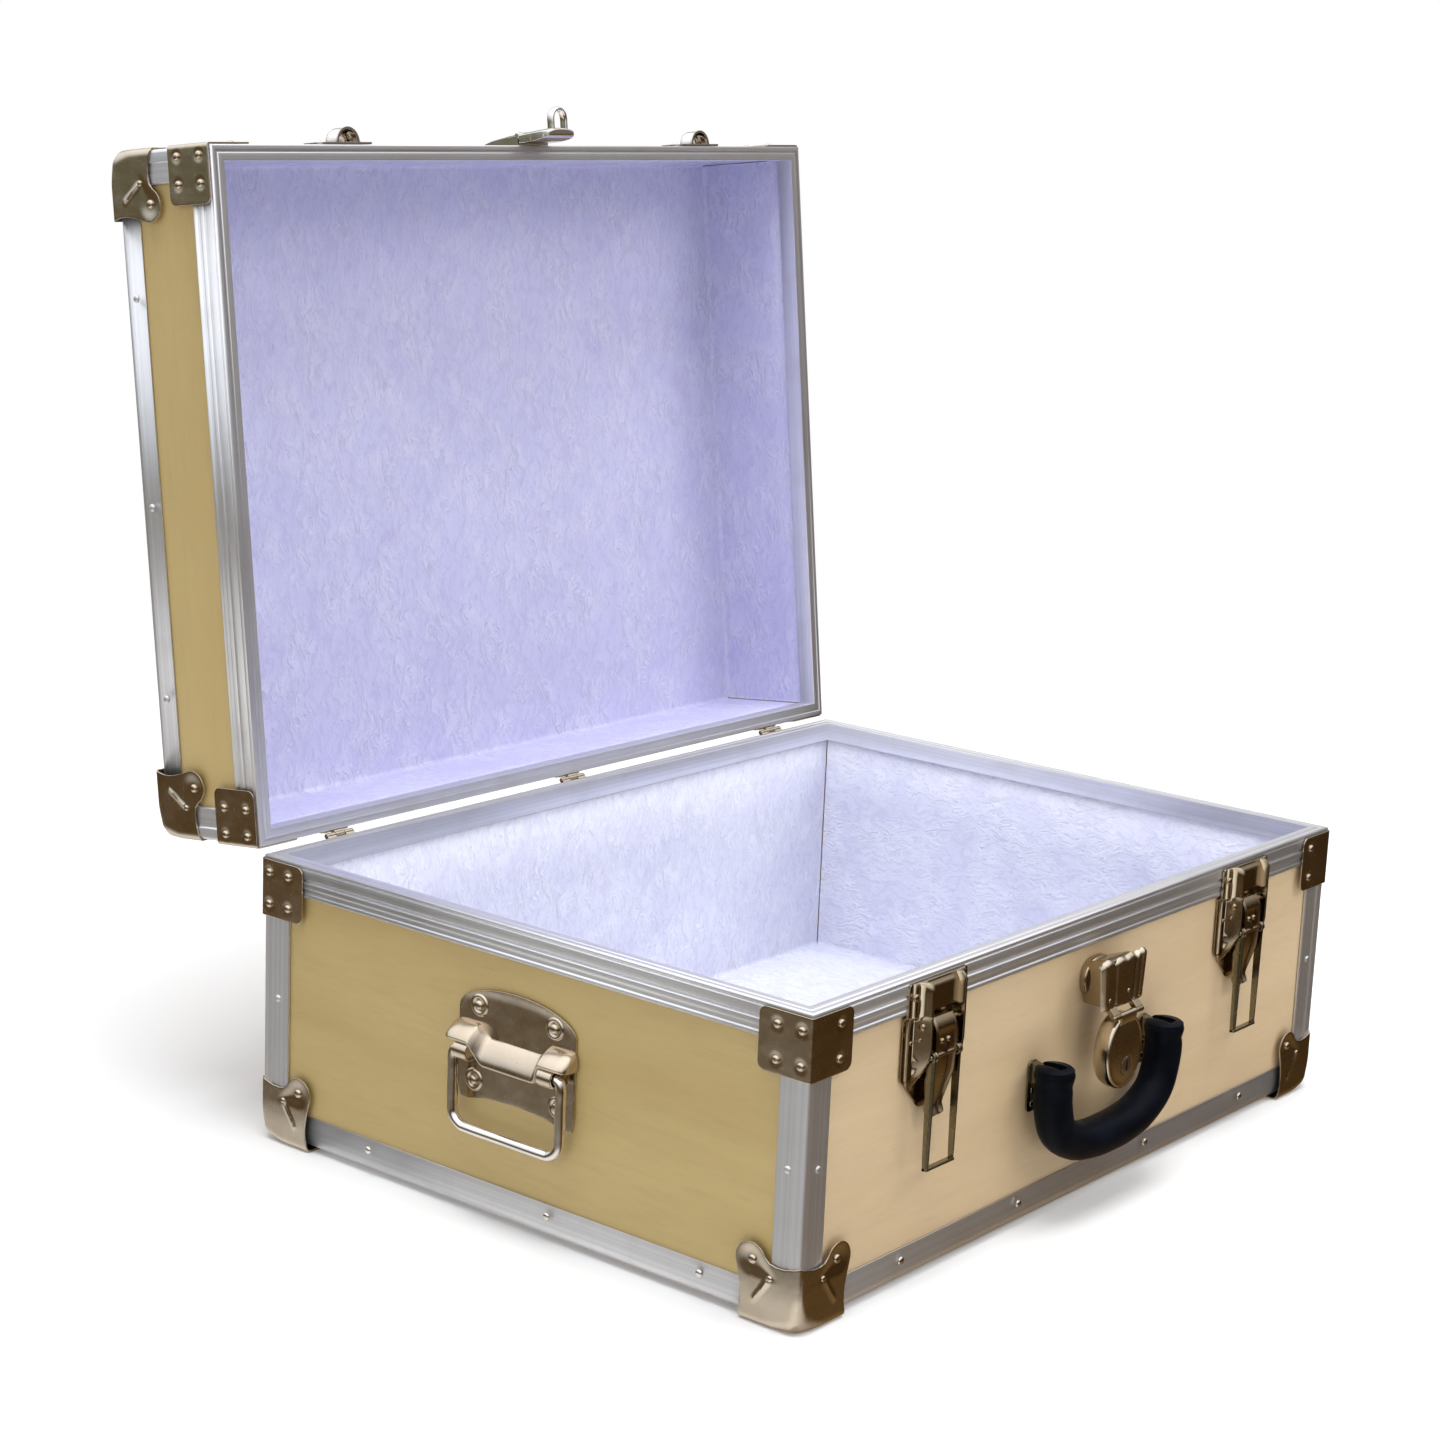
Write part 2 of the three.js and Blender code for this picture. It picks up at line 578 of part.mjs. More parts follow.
// A riveted lug whose cross pin turns in the slotted end of the grip.
function gripMount() {
  const plate = faceOn(roundedRectangle(-5.5, 5.5, GRIP.pivotZ - 26, GRIP.pivotZ + 7.5, 4, 2), GAP, 1.6);
  const lugSide = [
    [1.2, GRIP.pivotZ - 7], [1.2, GRIP.pivotZ + 7], [GRIP.s, GRIP.pivotZ + 5],
    ...arc(GRIP.s, GRIP.pivotZ, 5, 60, -60, 4), [GRIP.s, GRIP.pivotZ - 5],
  ];
  return union(
    plate,
    sideways(lugSide, -3.2, 3.2),
    cylinderX(-9, 9, -GRIP.s, GRIP.pivotZ, 2, 8),
  );
}

const CHEST = { pivotS: 10, pivotZ: 109, wire: 3.5, halfSpan: 44.5, drop: 49.5 };

// Chest handle plate: arched top, hollowed lower edge, a raised fold, and at each end of the fold
// a barrel for the bail under a hood that shades its bend.
function chestPlate() {
  const crown = arc(0, 0, 1, 0, 180, 12).map(([a, b]) => [48 * a, 133 + 17 * b]);
  const hollow = [[-46, 75], [-40, 74.5], [-25, 78], [0, 79.5], [25, 78], [40, 74.5], [46, 75]];
  const plate = faceOn([...hollow, [48, 84], ...crown, [-48, 84]], GAP, 1.8);
  const barrel = (x0, x1) => union(
    cylinderX(x0, x1, -CHEST.pivotS, CHEST.pivotZ, 6.2, 12),
    sideways([[1.5, 103.5], [1.5, 115], [10, 115], [10, 103]], x0, x1),
  ).subtract(cylinderX(x0 - 1, x1 + 1, -CHEST.pivotS, CHEST.pivotZ, 3.9, 12));
  const hoodSide = [[1.5, 114.4], [1.5, 125.5], [6, 124.4], [13, 120.5], [15.4, 116.5], [14.5, 114.4]];
  const fold = sideways([[1.5, 101.5], [9.8, 102], [9.8, 105], [1.5, 118]], -25, 25);
  const shoulder = (a, b) => faceOn([[a, 103], [b, 108], [b, 124.5], [a, 116]], 1.5, 9.4);
  return union(
    plate,
    barrel(-40.4, -29),
    barrel(29, 40.4),
    sideways(hoodSide, -50, -28),
    sideways(hoodSide, 28, 50),
    fold,
    shoulder(-23, -29.5),
    shoulder(23, 29.5),
    ...[[-31, 136.5], [31, 136.5], [-34.5, 88], [34.5, 88]].map(([x, z]) => rivetFront(x, 1.8, z, 5.2, 3)),
  );
}

// One bent wire: two stubs inside the barrels, two legs and a bar.
function chestBail() {
  const top = CHEST.pivotZ;
  const bottom = top - CHEST.drop;
  const span = CHEST.halfSpan;
  const bend = 9;
  const right = [
    [31, top], [38, top], [span - 2, top - 0.9], [span, top - 5], [span, top - 14], [span, bottom + bend + 5],
    [span - 1, bottom + bend - 3], [span - bend + 2, bottom + 1], [span - bend - 5, bottom],
  ];
  const left = right.map(([x, z]) => [-x, z]).reverse();
  const path = new THREE.CatmullRomCurve3(
    [...right, [0, bottom], ...left].map(([x, z]) => new THREE.Vector3(x, -CHEST.pivotS, z)),
    false,
    'centripetal',
  );
  const round = new THREE.Shape(arc(0, 0, CHEST.wire, 0, 315, 7).map(([a, b]) => new THREE.Vector2(a, b)));
  return solid(new THREE.ExtrudeGeometry(round, { extrudePath: path, steps: 34, bevelEnabled: false }));
}

// ---- rear hinges: the base leaf carries two knuckles and the pin, the lid leaf the middle one ----
const KNUCKLE_RADIUS = 1.9;
const LEAF_IN = HALF_D - SHEET - HINGE_Y; // leaf faces measured from the hinge axis
const LEAF_OUT = HALF_D - HINGE_Y;

function hingeWeb(x0, x1, up) {
  const web = [
    [LEAF_IN, 2.6 * up], [LEAF_IN, 0.6 * up], [-0.4, -1.2 * up], [1, 1.2 * up], [LEAF_OUT, 3.6 * up],
  ];
  return union(cylinderX(x0, x1, 0, 0, KNUCKLE_RADIUS, 12), alongX(web, x0, x1));
}

function baseHingeLeaf() {
  const leaf = alongY(roundedRectangle(-12, 12, -20, -2.5, 2.5, 2), LEAF_IN, LEAF_OUT);
  const pin = cylinderX(-4.6, 4.6, 0, 0, 0.8, 8);
  return union(leaf, hingeWeb(-12, -4.3, -1), hingeWeb(4.3, 12, -1), pin);
}

function lidHingeLeaf() {
  const leaf = alongY(roundedRectangle(-12, 12, 2.5, 20, 2.5, 2), LEAF_IN, LEAF_OUT);
  return union(leaf, hingeWeb(-3.9, 3.9, 1)).subtract(cylinderX(-5, 5, 0, 0, 1.1, 8));
}

// ---- assembly ----
const caseGroup = new THREE.Group();
caseGroup.name = 'trunk_case';

addShell(caseGroup, 'base', BASE_HEIGHT, {
  floor: 'floor',
  near: 'front',
  far: 'back',
  corners: ['front_left', 'front_right', 'back_right', 'back_left'],
  sideRivets: [-150, -30, 124],
  separatePosts: true,
  wearBoard: true,
});

const lid = new THREE.Group();
lid.name = 'lid_swing';
lid.position.set(0, HINGE_Y, HINGE_Z);
lid.rotation.x = -LID_OPEN_ANGLE;
caseGroup.add(lid);

// The lid is the same shell turned upside down, so its near side becomes the back.
const lidShell = new THREE.Group();
lidShell.name = 'lid_upside_down';
lidShell.position.set(0, -HINGE_Y, LID_TOP_Z - HINGE_Z);
lidShell.rotation.x = Math.PI;
lid.add(lidShell);
addShell(lidShell, 'lid', LID_HEIGHT, {
  floor: 'top',
  near: 'back',
  far: 'front',
  corners: ['back_left', 'back_right', 'front_right', 'front_left'],
  sideRivets: [-131, -5, 130],
  separatePosts: false,
  wearBoard: false,
});

function frontFrame(parent, y, z) {
  const frame = new THREE.Group();
  frame.position.set(0, y, z);
  parent.add(frame);
  return frame;
}
const baseFront = frontFrame(caseGroup, -(HALF_D - PANEL_INSET), 0);
const lidFront = frontFrame(lid, -(HALF_D - PANEL_INSET) - HINGE_Y, -HINGE_Z);

for (const [side, x] of [['left', -LATCH_X], ['right', LATCH_X]]) {
  add(baseFront, `latch_plate_${side}`, latchPlate(), nickel(), [x, 0, 0]);
  add(baseFront, `latch_lever_${side}`, latchLever(), bright(), [x, 0, 0]);
  add(baseFront, `latch_bail_${side}`, latchBail(), nickel(), [x, 0, 0]);
  add(lidFront, `latch_keeper_${side}`, latchKeeper(), bright(), [x, 0, 0]);
}

add(baseFront, 'lock_case', lockCase(), nickel());
add(baseFront, 'lock_drum', lockDrum(), bright());
add(baseFront, 'lock_plug', lockPlug(), pinSteel(), [0, -DRUM.front + 2.4, PLUG.z]);
add(lidFront, 'hasp_leaf', haspLeaf(), bright());
add(lidFront, 'hasp_flap', haspFlap(), bright());
add(baseFront, 'carry_grip', carryGrip(), blackGrip());
add(baseFront, 'grip_mount_left', gripMount(), nickel(), [-GRIP.halfSpan, 0, 0]);
add(baseFront, 'grip_mount_right', gripMount(), nickel(), [GRIP.halfSpan, 0, 0]);

for (const [side, sign] of [['left', -1], ['right', 1]]) {
  const flank = new THREE.Group();
  flank.position.set(sign * (HALF_W - PANEL_INSET), 0, 0);
  flank.rotation.z = (sign * Math.PI) / 2;
  caseGroup.add(flank);
  add(flank, `chest_plate_${side}`, chestPlate(), nickel());
  add(flank, `chest_bail_${side}`, chestBail(), bright());
}

['left', 'middle', 'right'].forEach((label, i) => {
  add(caseGroup, `hinge_base_leaf_${label}`, baseHingeLeaf(), nickel(), [HINGE_X[i], HINGE_Y, HINGE_Z]);
  add(lid, `hinge_lid_leaf_${label}`, lidHingeLeaf(), nickel(), [HINGE_X[i], 0, 0]);
});

export default caseGroup;
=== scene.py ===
"""Looks of the hinged trunk case: veneer panels, aluminium extrusions, pressed nickel hardware,
a moulded black carry grip and an embossed lilac paper lining. Shapes are drawn in millimetres in
the frame of the panel they sit on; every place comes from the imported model's own boxes."""
import json
import math

import bmesh
import bpy
import numpy as np
from mathutils import Euler, Matrix, Vector
from mathutils.geometry import delaunay_2d_cdt


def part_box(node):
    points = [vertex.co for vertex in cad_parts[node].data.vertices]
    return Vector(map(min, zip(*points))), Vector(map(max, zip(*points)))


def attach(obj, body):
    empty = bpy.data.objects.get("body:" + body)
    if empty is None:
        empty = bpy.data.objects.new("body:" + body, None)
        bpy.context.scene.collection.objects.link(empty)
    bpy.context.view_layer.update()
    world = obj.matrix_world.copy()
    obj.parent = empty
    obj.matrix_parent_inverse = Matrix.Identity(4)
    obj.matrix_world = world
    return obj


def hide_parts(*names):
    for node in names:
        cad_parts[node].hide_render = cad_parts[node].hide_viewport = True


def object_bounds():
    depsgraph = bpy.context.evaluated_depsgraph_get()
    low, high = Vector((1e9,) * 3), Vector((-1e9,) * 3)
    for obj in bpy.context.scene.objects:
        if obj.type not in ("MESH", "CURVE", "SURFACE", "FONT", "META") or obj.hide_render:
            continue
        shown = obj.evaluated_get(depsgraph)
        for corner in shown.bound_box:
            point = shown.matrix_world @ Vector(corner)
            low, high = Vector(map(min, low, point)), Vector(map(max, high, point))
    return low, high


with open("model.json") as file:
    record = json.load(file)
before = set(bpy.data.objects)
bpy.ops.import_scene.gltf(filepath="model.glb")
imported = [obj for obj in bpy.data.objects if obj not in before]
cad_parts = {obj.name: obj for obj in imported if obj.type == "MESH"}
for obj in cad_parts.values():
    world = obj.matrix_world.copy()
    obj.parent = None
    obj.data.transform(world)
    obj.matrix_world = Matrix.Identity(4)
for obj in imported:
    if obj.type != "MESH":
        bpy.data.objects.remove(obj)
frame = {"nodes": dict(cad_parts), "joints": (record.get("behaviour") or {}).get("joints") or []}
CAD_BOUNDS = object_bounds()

MM = 0.001
JOINTS = {joint["name"]: joint for joint in frame["joints"]}


# ---------------------------------------------------------------- places read from the frame
def box_mm(node):
    """A node's lowest and highest corner."""
    low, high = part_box(node)
    return low / MM, high / MM


def about(joint_name, degrees):
    """Turn about a joint's axis, in metres."""
    joint = JOINTS[joint_name]
    pivot = Vector(joint["pos_m"])
    turn = Matrix.Rotation(math.radians(degrees), 4, Vector(joint["axis"]))
    return Matrix.Translation(pivot) @ turn @ Matrix.Translation(-pivot)


LID_OPEN = -JOINTS["lid_hinge"]["range_deg"][0]
OPENED = about("lid_hinge", LID_OPEN)  # carries a closed lid's point to where it is at rest

WALL_FRONT = box_mm("base_wall_front")
WALL_LEFT = box_mm("base_wall_left")
PANEL_Y = -WALL_FRONT[0].y  # outer face of the front panel, as a positive distance
PANEL_X = -WALL_LEFT[0].x
PLY = WALL_FRONT[1].y - WALL_FRONT[0].y
RIM_BOX = box_mm("base_rim")
EDGE_X, EDGE_Y = RIM_BOX[1].x, RIM_BOX[1].y  # outer faces of the extrusions
BASE_HEIGHT = RIM_BOX[1].z
SHEET = 1.2  # pressed nickel sheet
GAP = 0.3  # fitting gap between neighbouring parts
HALF_W = EDGE_X + SHEET + GAP  # outer faces of the pressed corners
HALF_D = EDGE_Y + SHEET + GAP
PARTING_GAP = 2 * (JOINTS["lid_hinge"]["pos_m"][2] / MM - BASE_HEIGHT)
LID_BOTTOM = BASE_HEIGHT + PARTING_GAP
LID_HEIGHT = 99.7  # from the rim's edge to the outside of the top
LID_TOP = LID_BOTTOM + LID_HEIGHT
FLOOR_TOP = box_mm("base_floor")[1].z
LEG_WIDTH = 22.0  # visible width of an extrusion's leg
BALL, BALL_REACH = 10.0, 24.0  # rounding of the three-way corners, and where it has faded out
QUARTERS = [(-1, -1), (1, -1), (1, 1), (-1, 1)]  # signs of x and y of the four upright edges

# Hardware is drawn against its panel: x along it, the stand-off s along -y, and z up.
TO_FRONT = Matrix.Translation((0, -PANEL_Y * MM, 0))
# Each half is drawn standing on its flat panel with its open side up, and then put in place.
SHELLS = {
    "base": Matrix.Identity(4),
    "lid": OPENED @ Matrix.Translation((0, 0, LID_TOP * MM)) @ Matrix.Rotation(math.pi, 4, "X"),
}


# ---------------------------------------------------------------- plane figures
def smooth(value):
    """An eased step from 0 to 1."""
    value = min(max(value, 0.0), 1.0)
    return value * value * (3 - 2 * value)


def arc(ca, cb, radius, start, end, steps):
    """Points on a circle about (ca, cb), from one angle to another in degrees."""
    angles = [math.radians(start + (end - start) * i / steps) for i in range(steps + 1)]
    return [(ca + radius * math.cos(a), cb + radius * math.sin(a)) for a in angles]


def rounded_rectangle(a0, a1, b0, b1, radius, steps=5):
    centres = [
        (a1 - radius, b0 + radius, -90), (a1 - radius, b1 - radius, 0),
        (a0 + radius, b1 - radius, 90), (a0 + radius, b0 + radius, 180),
    ]
    return [p for ca, cb, start in centres for p in arc(ca, cb, radius, start, start + 90, steps)]


def ellipse(ca, cb, ra, rb, count):
    angles = [2 * math.pi * i / count for i in range(count)]
    return [(ca + ra * math.cos(a), cb + rb * math.sin(a)) for a in angles]


def fillet(points, radius, steps=3):
    """The closed figure with each corner rounded off by a short curve."""
    rounded = []
    corners = [Vector(p) for p in points]
    for i, corner in enumerate(corners):
        before, after = corners[i - 1], corners[(i + 1) % len(corners)]
        back, ahead = before - corner, after - corner
        if back.angle(-ahead) < 0.15:
            rounded.append(tuple(corner))
            continue
        a = corner + back.normalized() * min(radius, back.length * 0.45)
        b = corner + ahead.normalized() * min(radius, ahead.length * 0.45)
        for k in range(steps + 1):
            t = k / steps
            rounded.append(tuple(a * (1 - t) ** 2 + corner * 2 * t * (1 - t) + b * t * t))
    return rounded


def interpolate(table, at):
    """Linear reading of a table of (position, value), whose positions rise."""
    positions, values = zip(*table)
    return float(np.interp(at, positions, values))


def spline(points, per_span=6):
    """A smooth path through the points (Catmull-Rom)."""
    knots = [Vector(p) for p in points]
    knots = [2 * knots[0] - knots[1], *knots, 2 * knots[-1] - knots[-2]]
    path = []
    for i in range(1, len(knots) - 2):
        p0, p1, p2, p3 = knots[i - 1:i + 3]
        for k in range(per_span):
            t = k / per_span
            path.append(0.5 * (2 * p1 + (p2 - p0) * t + (2 * p0 - 5 * p1 + 4 * p2 - p3) * t ** 2
                               + (3 * p1 - p0 - 3 * p2 + p3) * t ** 3))
    path.append(knots[-2])
    return path


# ---------------------------------------------------------------- mesh code, in millimetres
def bridge(bm, rings):
    """Faces between each two neighbours of a list of equal rings of vertices."""
    for low, high in zip(rings, rings[1:]):
        for j in range(len(low)):
            k = (j + 1) % len(low)
            bm.faces.new((low[j], low[k], high[k], high[j]))


def loft(bm, rings):
    """Skins a list of equal rings of points and closes both ends."""
    made = [[bm.verts.new(p) for p in ring] for ring in rings]
    bridge(bm, made)
    bm.faces.new(list(reversed(made[0])))
    bm.faces.new(made[-1])


def prism_x(bm, points, x0, x1):
    """A figure of (stand-off, z) points, extruded along the panel."""
    loft(bm, [[(x, -s, z) for s, z in points] for x in (x0, x1)])


def prism_each_side(bm, points, near, far):
    for side in (-1, 1):
        prism_x(bm, points, *sorted((near * side, far * side)))


def prism_s(bm, points, s0, s1):
    """A figure of (x, z) points, extruded outwards from the panel."""
    loft(bm, [[(x, -s, z) for x, z in points] for s in (s0, s1)])


def axes_for(direction):
    """The direction and two more at right angles to it."""
    direction = Vector(direction).normalized()
    side = direction.orthogonal().normalized()
    return direction, side, direction.cross(side)


def lathe(bm, profile, origin, direction, count=24):
    """A figure of (radius, height) points turned about an axis."""
    axis, side, other = axes_for(direction)
    origin = Vector(origin)
    rings = []
    for radius, height in profile:
        radius = max(radius, 0.02)  # a ring can't close to a point
        ring = [
            origin + axis * height + (side * math.cos(a) + other * math.sin(a)) * radius
            for a in (2 * math.pi * i / count for i in range(count))
        ]
        rings.append(ring)
    loft(bm, rings)


# A rivet's head, as shares of its radius and height.
DOME = [(1.0, -0.3), (1.0, 0.12), (0.95, 0.42), (0.8, 0.74), (0.55, 0.93), (0.28, 1.0), (0.0, 1.0)]


def rivet(bm, origin, direction, radius=2.6, height=1.4, count=20):
    lathe(bm, [(r * radius, h * height) for r, h in DOME], origin, direction, count)


def rivets_on_front(bm, places, stand_off, radius=2.6, height=1.4):
    for x, z in places:
        rivet(bm, (x, -stand_off, z), (0, -1, 0), radius, height)


def sweep(bm, path, section):
    """Carries a section, a function of the share of the way along, down a path."""
    frames = []
    normal = (path[1] - path[0]).orthogonal().normalized()
    for i, point in enumerate(path):
        tangent = (path[min(i + 1, len(path) - 1)] - path[max(i - 1, 0)]).normalized()
        normal = (normal - tangent * normal.dot(tangent)).normalized()
        frames.append((point, normal, tangent.cross(normal)))
    rings = []
    for i, (point, across, up) in enumerate(frames):
        ring = section(i / (len(frames) - 1))
        rings.append([point + across * a + up * b for a, b in ring])
    loft(bm, rings)


def resample(points, step):
    """The closed figure with points no further apart than the step."""
    dense = []
    for i, start in enumerate(points):
        a, b = Vector(start), Vector(points[(i + 1) % len(points)])
        pieces = max(1, math.ceil((b - a).length / step - 0.05))
        dense += [tuple(a.lerp(b, k / pieces)) for k in range(pieces)]
    return dense


def inside(point, polygon):
    """Whether a line from the point crosses the closed figure an odd number of times."""
    x, y = point
    hit = False
    for i, (x1, y1) in enumerate(polygon):
        x0, y0 = polygon[i - 1]
        if (y0 > y) != (y1 > y) and x < x0 + (y - y0) * (x1 - x0) / (y1 - y0):
            hit = not hit
    return hit


def back_layer(bm):
    """Each vertex of an open sheet keeps its inner point here until the sheet is thickened."""
    layers = bm.verts.layers.float_vector
    return layers.get("back") or layers.new("back")


def add_sheet(bm, outline, surface, step=1.6, holes=()):
    """Triangulates a plane figure and lifts it: surface(a, b) gives the outer and the inner point."""
    loops = [resample(loop, step) for loop in (outline, *holes)]
    points, edges = [], []
    for loop in loops:
        first = len(points)
        points += loop
        edges += [(first + i, first + (i + 1) % len(loop)) for i in range(len(loop))]
    border = np.array(points)
    low, high = border.min(0), border.max(0)
    for row, b in enumerate(np.arange(low[1] + step * 0.5, high[1], step * 0.87)):
        for a in np.arange(low[0] + step * (0.5 + 0.5 * (row % 2)), high[0], step):
            if not inside((a, b), loops[0]) or any(inside((a, b), hole) for hole in loops[1:]):
                continue
            if np.min(np.hypot(border[:, 0] - a, border[:, 1] - b)) > step * 0.55:
                points.append((float(a), float(b)))
    made, _, faces, *_ = delaunay_2d_cdt([Vector(p) for p in points], edges, [], 0, 1e-6)
    back = back_layer(bm)
    verts = []
    for point in made:
        outer, inner = surface(point.x, point.y)
        vert = bm.verts.new(outer)
        vert[back] = inner
        verts.append(vert)
    for face in faces:
        middle = sum((made[i] for i in face), Vector((0, 0))) / len(face)
        if inside(middle, loops[0]) and not any(inside(middle, hole) for hole in loops[1:]):
            bm.faces.new([verts[i] for i in face])


def add_grid(bm, surface, a_values, b_values):
    """A sheet on a grid of lines: surface(a, b) gives the outer and the inner point."""
    back = back_layer(bm)
    rows = []
    for b in b_values:
        row = []
        for a in a_values:
            outer, inner = surface(a, b)
            vert = bm.verts.new(outer)
            vert[back] = inner
            row.append(vert)
        rows.append(row)
    for low, high in zip(rows, rows[1:]):
        for j in range(len(low) - 1):
            bm.faces.new((low[j], low[j + 1], high[j + 1], high[j]))


def thicken(bm):
    """Closes an open sheet with its inner side and its edges."""
    bmesh.ops.remove_doubles(bm, verts=bm.verts, dist=1e-3)
    bmesh.ops.recalc_face_normals(bm, faces=bm.faces)
    back = back_layer(bm)
    faces = list(bm.faces)
    border = [e.link_loops[0] for e in bm.edges if len(e.link_faces) == 1]
    rim = [(loop.vert, loop.link_loop_next.vert) for loop in border]
    inner = {v: bm.verts.new(v[back]) for v in list(bm.verts)}
    for face in faces:
        bm.faces.new([inner[v] for v in reversed(face.verts)])
    for a, b in rim:
        bm.faces.new((b, a, inner[a], inner[b]))


def grain_layer(bm):
    """Place in metres along and across the grain, for materials that run along a piece."""
    layers = bm.loops.layers.float_vector
    return layers.get("grain") or layers.new("grain")


def frame_ring(bm, profile, half_x, half_y):
    """A closed figure of (distance inwards, z) points run round a rectangle with mitred corners."""
    lengths = [0.0]
    for a, b in zip(profile, profile[1:] + profile[:1]):
        lengths.append(lengths[-1] + (Vector(b) - Vector(a)).length)
    rings = [
        [bm.verts.new((sx * (half_x - off), sy * (half_y - off), z)) for off, z in profile]
        for sx, sy in QUARTERS
    ]
    grain = grain_layer(bm)
    for side in range(4):
        here, there = rings[side], rings[(side + 1) % 4]
        along = 0 if side % 2 == 0 else 1
        for i in range(len(profile)):
            k = (i + 1) % len(profile)
            face = bm.faces.new((here[i], here[k], there[k], there[i]))
            across = [lengths[i], lengths[i + 1], lengths[i + 1], lengths[i]]
            for loop, reach in zip(face.loops, across):
                loop[grain] = (loop.vert.co[along] * MM, reach * MM, 0.37 * side)


def upright(bm, plan, z0, z1):
    """A post of constant plan with the grain running up it."""
    first = len(bm.faces)
    loft(bm, [[(x, y, z) for x, y in plan] for z in (z0, z1)])
    grain = grain_layer(bm)
    bm.faces.ensure_lookup_table()
    for face in bm.faces[first:]:
        for loop in face.loops:
            x, y, z = loop.vert.co
            loop[grain] = (z * MM, (x - y) * MM, 0.11)


# ---------------------------------------------------------------- turning meshes into pieces
def to_mesh(bm, name):
    """A cleaned closed mesh with its faces pointing out."""
    if bm.verts.layers.float_vector.get("back"):
        bm.verts.layers.float_vector.remove(back_layer(bm))
    bmesh.ops.remove_doubles(bm, verts=bm.verts, dist=1e-3)
    bmesh.ops.dissolve_degenerate(bm, dist=1e-4, edges=bm.edges)
    bmesh.ops.recalc_face_normals(bm, faces=bm.faces)
    return written(bm, name)


def written(bm, name):
    """The mesh in metres, shaded smooth."""
    mesh = bpy.data.meshes.new(name)
    bm.to_mesh(mesh)
    bm.free()
    mesh.transform(Matrix.Scale(MM, 4))
    mesh.polygons.foreach_set("use_smooth", [True] * len(mesh.polygons))
    return mesh


def piece(mesh, name, body, material, matrix, bevel=0.3, angle=30, nodes=()):
    """Places a mesh as a piece of a body, with its edges broken."""
    made = bpy.data.objects.new(name, mesh)
    bpy.context.scene.collection.objects.link(made)
    if not mesh.materials:
        mesh.materials.append(material)
    made.matrix_world = matrix
    if bevel:
        rounding = made.modifiers.new("broken_edges", "BEVEL")
        rounding.width = bevel * MM
        rounding.segments = 2
        rounding.limit_method = "ANGLE"
        rounding.angle_limit = math.radians(angle)
        rounding.harden_normals = False
        shading = made.modifiers.new("shading", "WEIGHTED_NORMAL")
        shading.weight = 60
    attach(made, body)
    if nodes:
        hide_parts(*nodes)
    return made


# ---------------------------------------------------------------- materials
class Nodes:
    """A node tree with short calls for the nodes used here."""

    def __init__(self, tree):
        self.tree = tree

    def add(self, kind, inputs=None, **settings):
        made = self.tree.nodes.new(kind)
        for key, value in settings.items():
            setattr(made, key, value)
        for key, value in (inputs or {}).items():
            self.feed(made, key, value)
        return made

    def feed(self, node, key, value):
        if isinstance(value, bpy.types.NodeSocket):
            self.tree.links.new(value, node.inputs[key])
        else:
            node.inputs[key].default_value = value

    def place(self, scale=(1, 1, 1), rotation=(0, 0, 0), source=None):
        source = source or self.add("ShaderNodeTexCoord").outputs["Object"]
        inputs = {"Vector": source, "Scale": scale, "Rotation": [math.radians(r) for r in rotation]}
        return self.add("ShaderNodeMapping", inputs).outputs["Vector"]

    def grain(self):
        attribute = self.add("ShaderNodeAttribute", attribute_name="grain")
        return attribute.outputs["Vector"]

    def noise(self, vector, scale=1.0, detail=3.0, roughness=0.5, distortion=0.0):
        inputs = {"Vector": vector, "Scale": scale, "Detail": detail, "Roughness": roughness,
                  "Distortion": distortion}
        return self.add("ShaderNodeTexNoise", inputs).outputs["Fac"]

    def maths(self, operation, a, b=0.0):
        return self.add("ShaderNodeMath", {0: a, 1: b}, operation=operation).outputs[0]

    def spread(self, value, low, high, from_low=0.3, from_high=0.7, **settings):
        inputs = {"Value": value, "From Min": from_low, "From Max": from_high,
                  "To Min": low, "To Max": high}
        return self.add("ShaderNodeMapRange", inputs, **settings).outputs["Result"]

    def blend(self, share, a, b):
        made = self.add("ShaderNodeMix", {"Factor": share}, data_type="RGBA")
        for socket, colour in ((6, a), (7, b)):  # the colour sockets of a mix node
            self.feed(made, socket, colour if isinstance(colour, bpy.types.NodeSocket) else (*colour, 1))
        return made.outputs[2]

    def paint(self, colour, *coats):
        """Lays coats of (share, colour) over a colour."""
        for share, coat in coats:
            colour = self.blend(share, colour, coat)
        return colour

    def relief(self, *layers):
        """Bumps of (height, strength, distance in metres), each on top of the last."""
        below = {}
        for height, strength, distance in layers:
            inputs = {"Height": height, "Strength": strength, "Distance": distance, **below}
            below = {"Normal": self.add("ShaderNodeBump", inputs).outputs["Normal"]}
        return below["Normal"]


class Shader(Nodes):
    """A material: its node tree round one principled surface."""

    def __init__(self, name, **settings):
        self.material = bpy.data.materials.new(name)
        self.material.use_nodes = True
        super().__init__(self.material.node_tree)
        self.surface = self.tree.nodes["Principled BSDF"]
        for key, value in settings.items():
            self.surface.inputs[key.replace("_", " ")].default_value = value

    def set(self, **sockets):
        for key, value in sockets.items():
            self.feed(self.surface, key.replace("_", " "), value)
        return self.material


